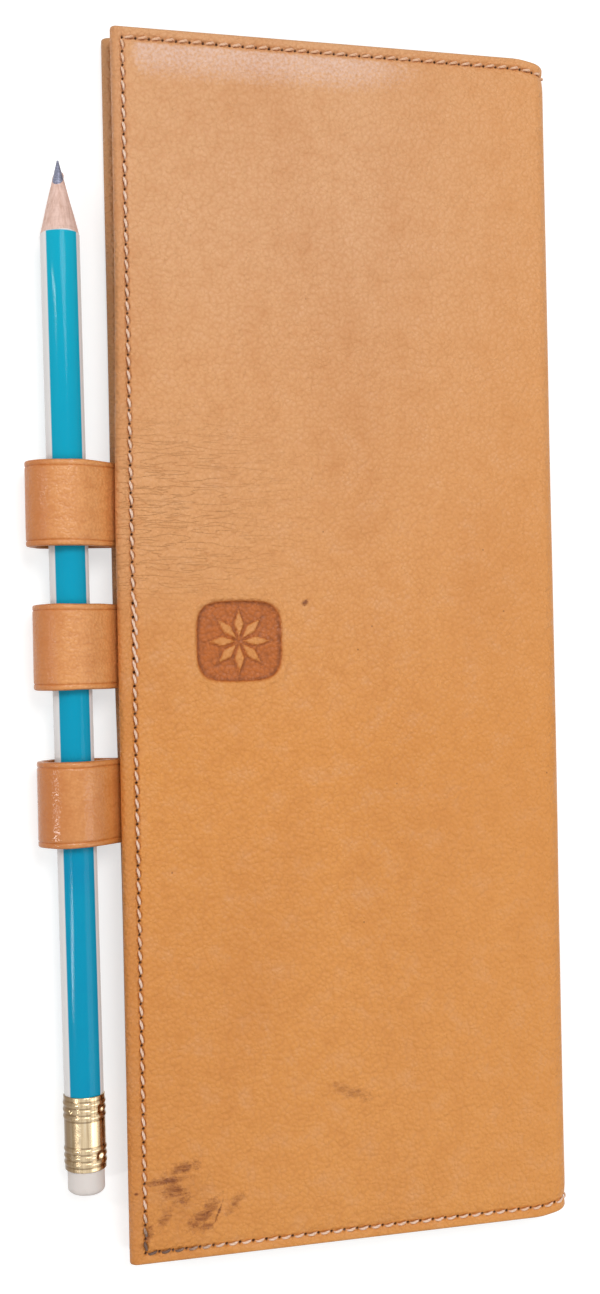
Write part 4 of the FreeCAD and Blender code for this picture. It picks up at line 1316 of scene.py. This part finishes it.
def pencil_barrel(materials):
    """Lacquered barrel and bare wooden cone."""
    sides = 72
    rings = [
        (FERRULE_END - SPIGOT_LENGTH, SPIGOT_RADIUS),
        (FERRULE_END - 0.3, SPIGOT_RADIUS),
        (FERRULE_END + 0.1, PENCIL_RADIUS - 0.02),
    ]
    rings += [(along, PENCIL_RADIUS) for along in spread(FERRULE_END + 0.4, PAINT_END - 0.3, 14)]
    rings += [(PAINT_END - 0.06, PENCIL_RADIUS - 0.02)]
    first_wood_point = (len(rings) - 1) * sides
    rings += [(along, point_radius(along) - SHAVED) for along in spread(PAINT_END + 0.02, WOOD_END, 12)]
    rings += [(WOOD_END + 0.02, LEAD_RADIUS - 0.15)]

    def wobble(along, radius, angle):
        near_paint = bell(along - PAINT_END, 1.6)
        near_lead = smooth_step(along, WOOD_END - 2.0, WOOD_END)
        shift = (0.2 * ripple(angle, 2.0, 1.6) + 0.4 * math.cos(angle)) * near_paint
        shift += (0.7 - 1.5 * math.cos(angle + 0.3)) * near_lead
        if along < PAINT_END:
            return along + shift, min(radius, point_radius(along + shift))
        if radius < LEAD_RADIUS - 0.1:
            return along + shift, radius
        shave = SHAVED * ripple(angle, along * 0.3, 2.5) * (1 - near_lead)
        return along + shift, point_radius(along + shift) - SHAVED + shave

    def is_wood(face):
        return min(face) >= first_wood_point

    points, places, faces = turned(rings, sides, wobble)
    return make_piece("pencil_lacquered_barrel", points, faces, materials, places, second=is_wood, crease=50)


def pencil_lead(material):
    """Ground lead that stands out of the wooden cone."""
    rings = [(WOOD_END - 3.0, LEAD_RADIUS - 0.06), (WOOD_END - 0.2, LEAD_RADIUS - 0.06)]
    rings += [(along, point_radius(along) - 0.1) for along in spread(WOOD_END, PENCIL_LENGTH - 0.25, 12)]
    rings += [(PENCIL_LENGTH - 0.08, LEAD_TIP * 0.8), (PENCIL_LENGTH, LEAD_TIP * 0.35)]

    def wobble(along, radius, angle):
        return along, radius * (1 + 0.03 * ripple(angle, along * 0.8, 1.5))

    points, places, faces = turned(rings, 40, wobble)
    return make_piece("pencil_ground_lead", points, faces, [material], places, crease=70)


def pencil_ferrule(material):
    """Rolled ferrule with two bands of three crimped rings and punched dents that hold wood and rubber."""
    bands = (ERASER_REACH + CRIMP_MARGIN, FERRULE_END - CRIMP_MARGIN - 2 * CRIMP_PITCH)
    crests = [band + CRIMP_PITCH * number for band in bands for number in range(3)]
    bore = FERRULE_RADIUS - FERRULE_WALL
    rings = [(ERASER_REACH, bore + 0.08), (ERASER_REACH, FERRULE_RADIUS - 0.1)]
    rings += [(along, FERRULE_RADIUS) for along in spread(ERASER_REACH + 0.1, FERRULE_END - 0.1, 100)]
    rings += [(FERRULE_END, FERRULE_RADIUS - 0.1), (FERRULE_END, bore + 0.08)]
    rings += [(along, bore) for along in (FERRULE_END - 0.3, ERASER_REACH + 0.3)]

    def wobble(along, radius, angle):
        if radius < FERRULE_RADIUS:
            return along, radius
        ring = sum(bell(along - crest, CRIMP_WIDTH) for crest in crests)
        dent = 0.0
        for band, first in zip(bands, (0.65, -0.75)):
            for quarter in range(4):
                turn = (angle - first - quarter * math.pi / 2 + math.pi) % math.tau - math.pi
                dent += bell(math.hypot(turn * FERRULE_RADIUS, along - band - CRIMP_PITCH), DENT_WIDTH)
        return along, radius + CRIMP_HEIGHT * ring * (1 - dent) - DENT_DEPTH * dent

    points, places, faces = turned(rings, 96, wobble, hollow=True)
    half = CRIMP_PITCH / 2
    creases = [crest + half for crest in crests] + [band - half for band in bands]
    masks = {"groove": [max(bell(place[1] - crease, 0.2) for crease in creases) for place in places]}
    return make_piece("pencil_crimped_ferrule", points, faces, [material], places, masks, crease=50)


def pencil_eraser(material):
    """Moulded eraser, its end rounded and rubbed uneven."""
    rings = [(0.0, ERASER_RADIUS * share) for share in (0.1, 0.35, 0.6)]
    for turn in spread(math.pi / 2, 0, 8):
        along = ERASER_ROUND * (1 - math.sin(turn))
        rings.append((along, ERASER_RADIUS - ERASER_ROUND * (1 - math.cos(turn))))
    rings += [(along, ERASER_RADIUS) for along in (1.6, 2.6, 3.6, ERASER_REACH, ERASER_REACH + 6.0)]

    def wobble(along, radius, angle):
        worn = 1 - smooth_step(along, 0.3, 3.5)
        rub = 0.22 * (1 + ripple(angle, 3.0, 1.2 * radius / ERASER_RADIUS)) * worn
        return along + rub, radius * (1 - 0.015 * worn * ripple(angle, 9.0, 2.0))

    points, places, faces = turned(rings, 56, wobble)
    return make_piece("pencil_worn_eraser", points, faces, [material], places, crease=70)


finishes = {}


def finish(maker, settings):
    """A material, made once and then shared by the pieces that wear it."""
    if maker.__name__ not in finishes:
        finishes[maker.__name__] = maker(settings)
    return finishes[maker.__name__]


class PENCASE_OT_covers(bpy.types.Operator):
    """Make the two covers' leather, which meets in the middle of the spine"""

    bl_idname = "pencase.covers"
    bl_label = "Cover Leather"

    def execute(self, context):
        leather = context.scene.pencase_leather
        material = finish(vegetable_tanned_leather, leather)
        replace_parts(cover_leather("back", leather, material), "back_leather")
        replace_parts(cover_leather("front", leather, material), "front_leather", "spine_leather")
        return {"FINISHED"}


class PENCASE_OT_linings(bpy.types.Operator):
    """Make the linings of the covers and the spine, and give the boards under them their finish"""

    bl_idname = "pencase.linings"
    bl_label = "Linings and Boards"

    def execute(self, context):
        material = finish(split_lining_leather, context.scene.pencase_leather)
        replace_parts(cover_lining("back", material), "back_lining")
        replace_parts(cover_lining("front", material), "front_lining", "spine_lining")
        board = finish(pressed_grey_board, context.scene.pencase_leather)
        for node in ("back_board", "front_board"):
            for slot in frame["nodes"][node].material_slots:
                slot.material = board
        return {"FINISHED"}


class PENCASE_OT_seams(bpy.types.Operator):
    """Sew the covers together: stitches round each cover and across the ends of the spine"""

    bl_idname = "pencase.seams"
    bl_label = "Cover Seams"

    def execute(self, context):
        leather = context.scene.pencase_leather
        thread = finish(waxed_linen_thread, leather)
        for cover in ("back", "front"):
            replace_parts(cover_seam(cover, leather, thread), f"{cover}_seam_thread")
        work = new_thread()
        for along in (-SEAM_Y, SEAM_Y):
            path = straight_seam((HALF_WIDTH, drawn_in(along, FOLD_X + FOLD_RUN), 0), (0, 0, 1), (1, 0, 0))
            lay_stitch(work, path, FOLD_RADIUS, THICK - FOLD_RADIUS, leather)
        piece = thread_piece("spine_end_seams", work, thread)
        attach(piece, "spine")
        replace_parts(piece, "spine_seam_thread")
        return {"FINISHED"}


class PENCASE_OT_loops(bpy.types.Operator):
    """Make the three strap loops and sew their roots to the back cover"""

    bl_idname = "pencase.loops"
    bl_label = "Strap Loops"

    def execute(self, context):
        leather = context.scene.pencase_leather
        strap = finish(burnished_strap_leather, leather)
        work = new_thread()
        half = LOOP_HALF - ROOT_SEAM_INSET
        for node, along in LOOPS.items():
            piece = strap_loop(node, along, strap)
            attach(piece, "back")
            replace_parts(piece, node)
            holes = seam_holes(along - half, along + half, SEAM_PITCH)
            for row in (SEAM_X, ROOT_X - ROOT_SEAM_INSET):
                path = straight_seam((row, 0, COVER + 2 * STRAP), (0, 1, 0), (0, 0, 1))
                sew(work, path, holes, leather, lift=ROOT_LIFT)
        piece = thread_piece("loop_root_seams", work, finish(waxed_linen_thread, leather))
        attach(piece, "back")
        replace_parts(piece, "loop_stitches")
        return {"FINISHED"}


class PENCASE_OT_panels(bpy.types.Operator):
    """Make the pen sleeves on the back lining and the slip pocket on the front lining"""

    bl_idname = "pencase.panels"
    bl_label = "Sleeves and Pocket"

    def execute(self, context):
        leather = context.scene.pencase_leather
        material = finish(vegetable_tanned_leather, leather)
        thread = finish(waxed_linen_thread, leather)
        panels = (
            ("pen_sleeve_panel", "pen_sleeve_stitches", 3, "back"),
            ("slip_pocket", "slip_pocket_stitches", 1, "front"),
        )
        for node, stitches, channels, body in panels:
            front = body == "front"
            panel = sewn_panel(node, channels, front, leather, material)
            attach(panel, body)
            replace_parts(panel, node)
            seams = panel_seams(node, channels, front, leather, thread)
            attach(seams, body)
            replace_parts(seams, stitches)
        return {"FINISHED"}


class PENCASE_OT_pencil(bpy.types.Operator):
    """Make the pencil: lacquered barrel, lead, ferrule and eraser"""

    bl_idname = "pencase.pencil"
    bl_label = "Pencil"

    def execute(self, context):
        pencil = context.scene.pencase_pencil
        barrel = [finish(striped_lacquer, pencil), finish(sharpened_cedar, pencil)]
        pieces = (
            (pencil_barrel(barrel), "pencil_barrel", "lacquered_cedar"),
            (pencil_lead(finish(ground_graphite, pencil)), "pencil_lead", "graphite"),
            (pencil_ferrule(finish(gilt_strip, pencil)), "pencil_ferrule", "gilt_ferrule"),
            (pencil_eraser(finish(moulded_eraser_rubber, pencil)), "pencil_eraser", "eraser_rubber"),
        )
        for piece, node, slot in pieces:
            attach(piece, "pencil")
            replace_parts(piece, node)
        return {"FINISHED"}


def seen_directly(tree):
    """1 for what is seen straight, in a mirror or through glass, and 0 for light that falls on the case."""
    seen = add(tree, "LightPath", {}, "Is Camera Ray")
    for ray in ("Is Glossy Ray", "Is Transmission Ray"):
        seen = add(tree, "Math", {0: seen, 1: add(tree, "LightPath", {}, ray)}, operation="MAXIMUM")
    return seen


def smooth_paper(stage):
    """Surface of the floor."""
    # Smooth white card, dull and even. It shows white where it is seen, also in mirrors, and keeps the
    # shadow.
    material, tree, shader = new_material("smooth_white_card")
    place = add(tree, "TexCoord", {}, "Object")
    tooth = add(tree, "TexNoise", {"Vector": place, "Scale": 1 / (2 * MM), "Detail": 3.0}, "Fac")
    colour = tinted(tree, stage.floor, (linear("#C4C3C2"), tooth, 0.4, 0.8, 0.5))
    # Far from the lamps the card would look grey, so there it shows white by itself.
    reach = add(tree, "VectorMath", {0: place}, "Value", operation="LENGTH")
    glow = add(tree, "MapRange", {"Value": reach, "From Min": 0.3, "From Max": 1.5, "To Min": FLOOR_GLOW})
    glow = add(tree, "Math", {0: seen_directly(tree), 1: glow}, operation="MULTIPLY")
    white = {"Emission Color": (1, 1, 1), "Emission Strength": glow}
    feed(tree, shader, {"Base Color": colour, "Roughness": 0.9, **white})
    return material


def paper_floor(stage):
    """The floor that the case lies on."""
    mesh = bpy.data.meshes.new("floor")
    signs = ((-1, -1), (1, -1), (1, 1), (-1, 1))
    mesh.from_pydata([(x * FLOOR_HALF, y * FLOOR_HALF, FLOOR_Z) for x, y in signs], [], [(0, 1, 2, 3)])
    mesh.materials.append(finish(smooth_paper, stage))
    floor = bpy.data.objects.new("floor", mesh)
    bpy.context.scene.collection.objects.link(floor)


def white_surroundings(stage):
    """A world that lights the case weakly from all round and is seen as white."""
    world = bpy.data.worlds.new("studio")
    world.use_nodes = True
    bpy.context.scene.world = world
    tree = world.node_tree
    inputs = {"Value": seen_directly(tree), "To Min": stage.ambient, "To Max": 1.0}
    strength = add(tree, "MapRange", inputs)
    feed(tree, tree.nodes["Background"], {"Color": (1, 1, 1), "Strength": strength})


def soft_light(name, place, size, power):
    """A soft white lamp, long along the case and aimed at its middle."""
    lamp = bpy.data.lights.new(name, "AREA")
    lamp.shape = "ELLIPSE"
    lamp.size, lamp.size_y = size
    lamp.energy = power
    light = bpy.data.objects.new(name, lamp)
    light.location = place
    light.rotation_euler = (-Vector(place)).to_track_quat("-Z", "Y").to_euler()
    bpy.context.scene.collection.objects.link(light)


def photo_camera():
    """The camera where the photograph was taken from."""
    lens = bpy.data.cameras.new("camera")
    lens.sensor_fit = "VERTICAL"
    lens.sensor_height = SENSOR_HEIGHT
    lens.lens = SENSOR_HEIGHT * FOCAL_PIXELS / PHOTO_HEIGHT
    lens.clip_start = CAMERA_NEAR
    camera = bpy.data.objects.new("camera", lens)
    camera.location = Vector(CAMERA_PLACE) * MM
    camera.rotation_euler = [math.radians(turn) for turn in CAMERA_TURN]
    bpy.context.scene.collection.objects.link(camera)
    bpy.context.scene.camera = camera


class PENCASE_OT_stage(bpy.types.Operator):
    """Set up the floor, the soft lights, the surroundings and the camera"""

    bl_idname = "pencase.stage"
    bl_label = "Stage"

    def execute(self, context):
        stage = context.scene.pencase_stage
        paper_floor(stage)
        white_surroundings(stage)
        for name, (place, size, power) in LAMPS.items():
            soft_light(name, place, size, getattr(stage, power))
        photo_camera()
        context.scene.view_settings.view_transform = "Standard"
        return {"FINISHED"}


class PENCASE_PT_sidebar(bpy.types.Panel):
    """Lists the pieces of the pen case"""

    bl_label = "Pen Case"
    bl_idname = "PENCASE_PT_sidebar"
    bl_space_type = "VIEW_3D"
    bl_region_type = "UI"
    bl_category = "Pen Case"

    def draw(self, context):
        for operator in OPERATORS:
            self.layout.operator(operator.bl_idname)
        for group in SETTINGS:
            settings = getattr(context.scene, group)
            for name in settings.__annotations__:
                self.layout.prop(settings, name)


OPERATORS = (
    PENCASE_OT_stage,
    PENCASE_OT_covers,
    PENCASE_OT_linings,
    PENCASE_OT_seams,
    PENCASE_OT_loops,
    PENCASE_OT_panels,
    PENCASE_OT_pencil,
)
SETTINGS = {"pencase_leather": CaseLeather, "pencase_pencil": PencilFinish, "pencase_stage": StudioStage}
CLASSES = (*SETTINGS.values(), *OPERATORS, PENCASE_PT_sidebar)


def register():
    """Registers the classes and hangs their settings on the scene."""
    for item in CLASSES:
        bpy.utils.register_class(item)
    for name, group in SETTINGS.items():
        setattr(bpy.types.Scene, name, PointerProperty(type=group))


def unregister():
    """Takes back what register did."""
    for name in SETTINGS:
        delattr(bpy.types.Scene, name)
    for item in reversed(CLASSES):
        bpy.utils.unregister_class(item)


def main():
    """Makes every piece in order."""
    register()
    for operator in OPERATORS:
        group, name = operator.bl_idname.split(".")
        getattr(getattr(bpy.ops, group), name)()


if __name__ == "__main__":
    main()
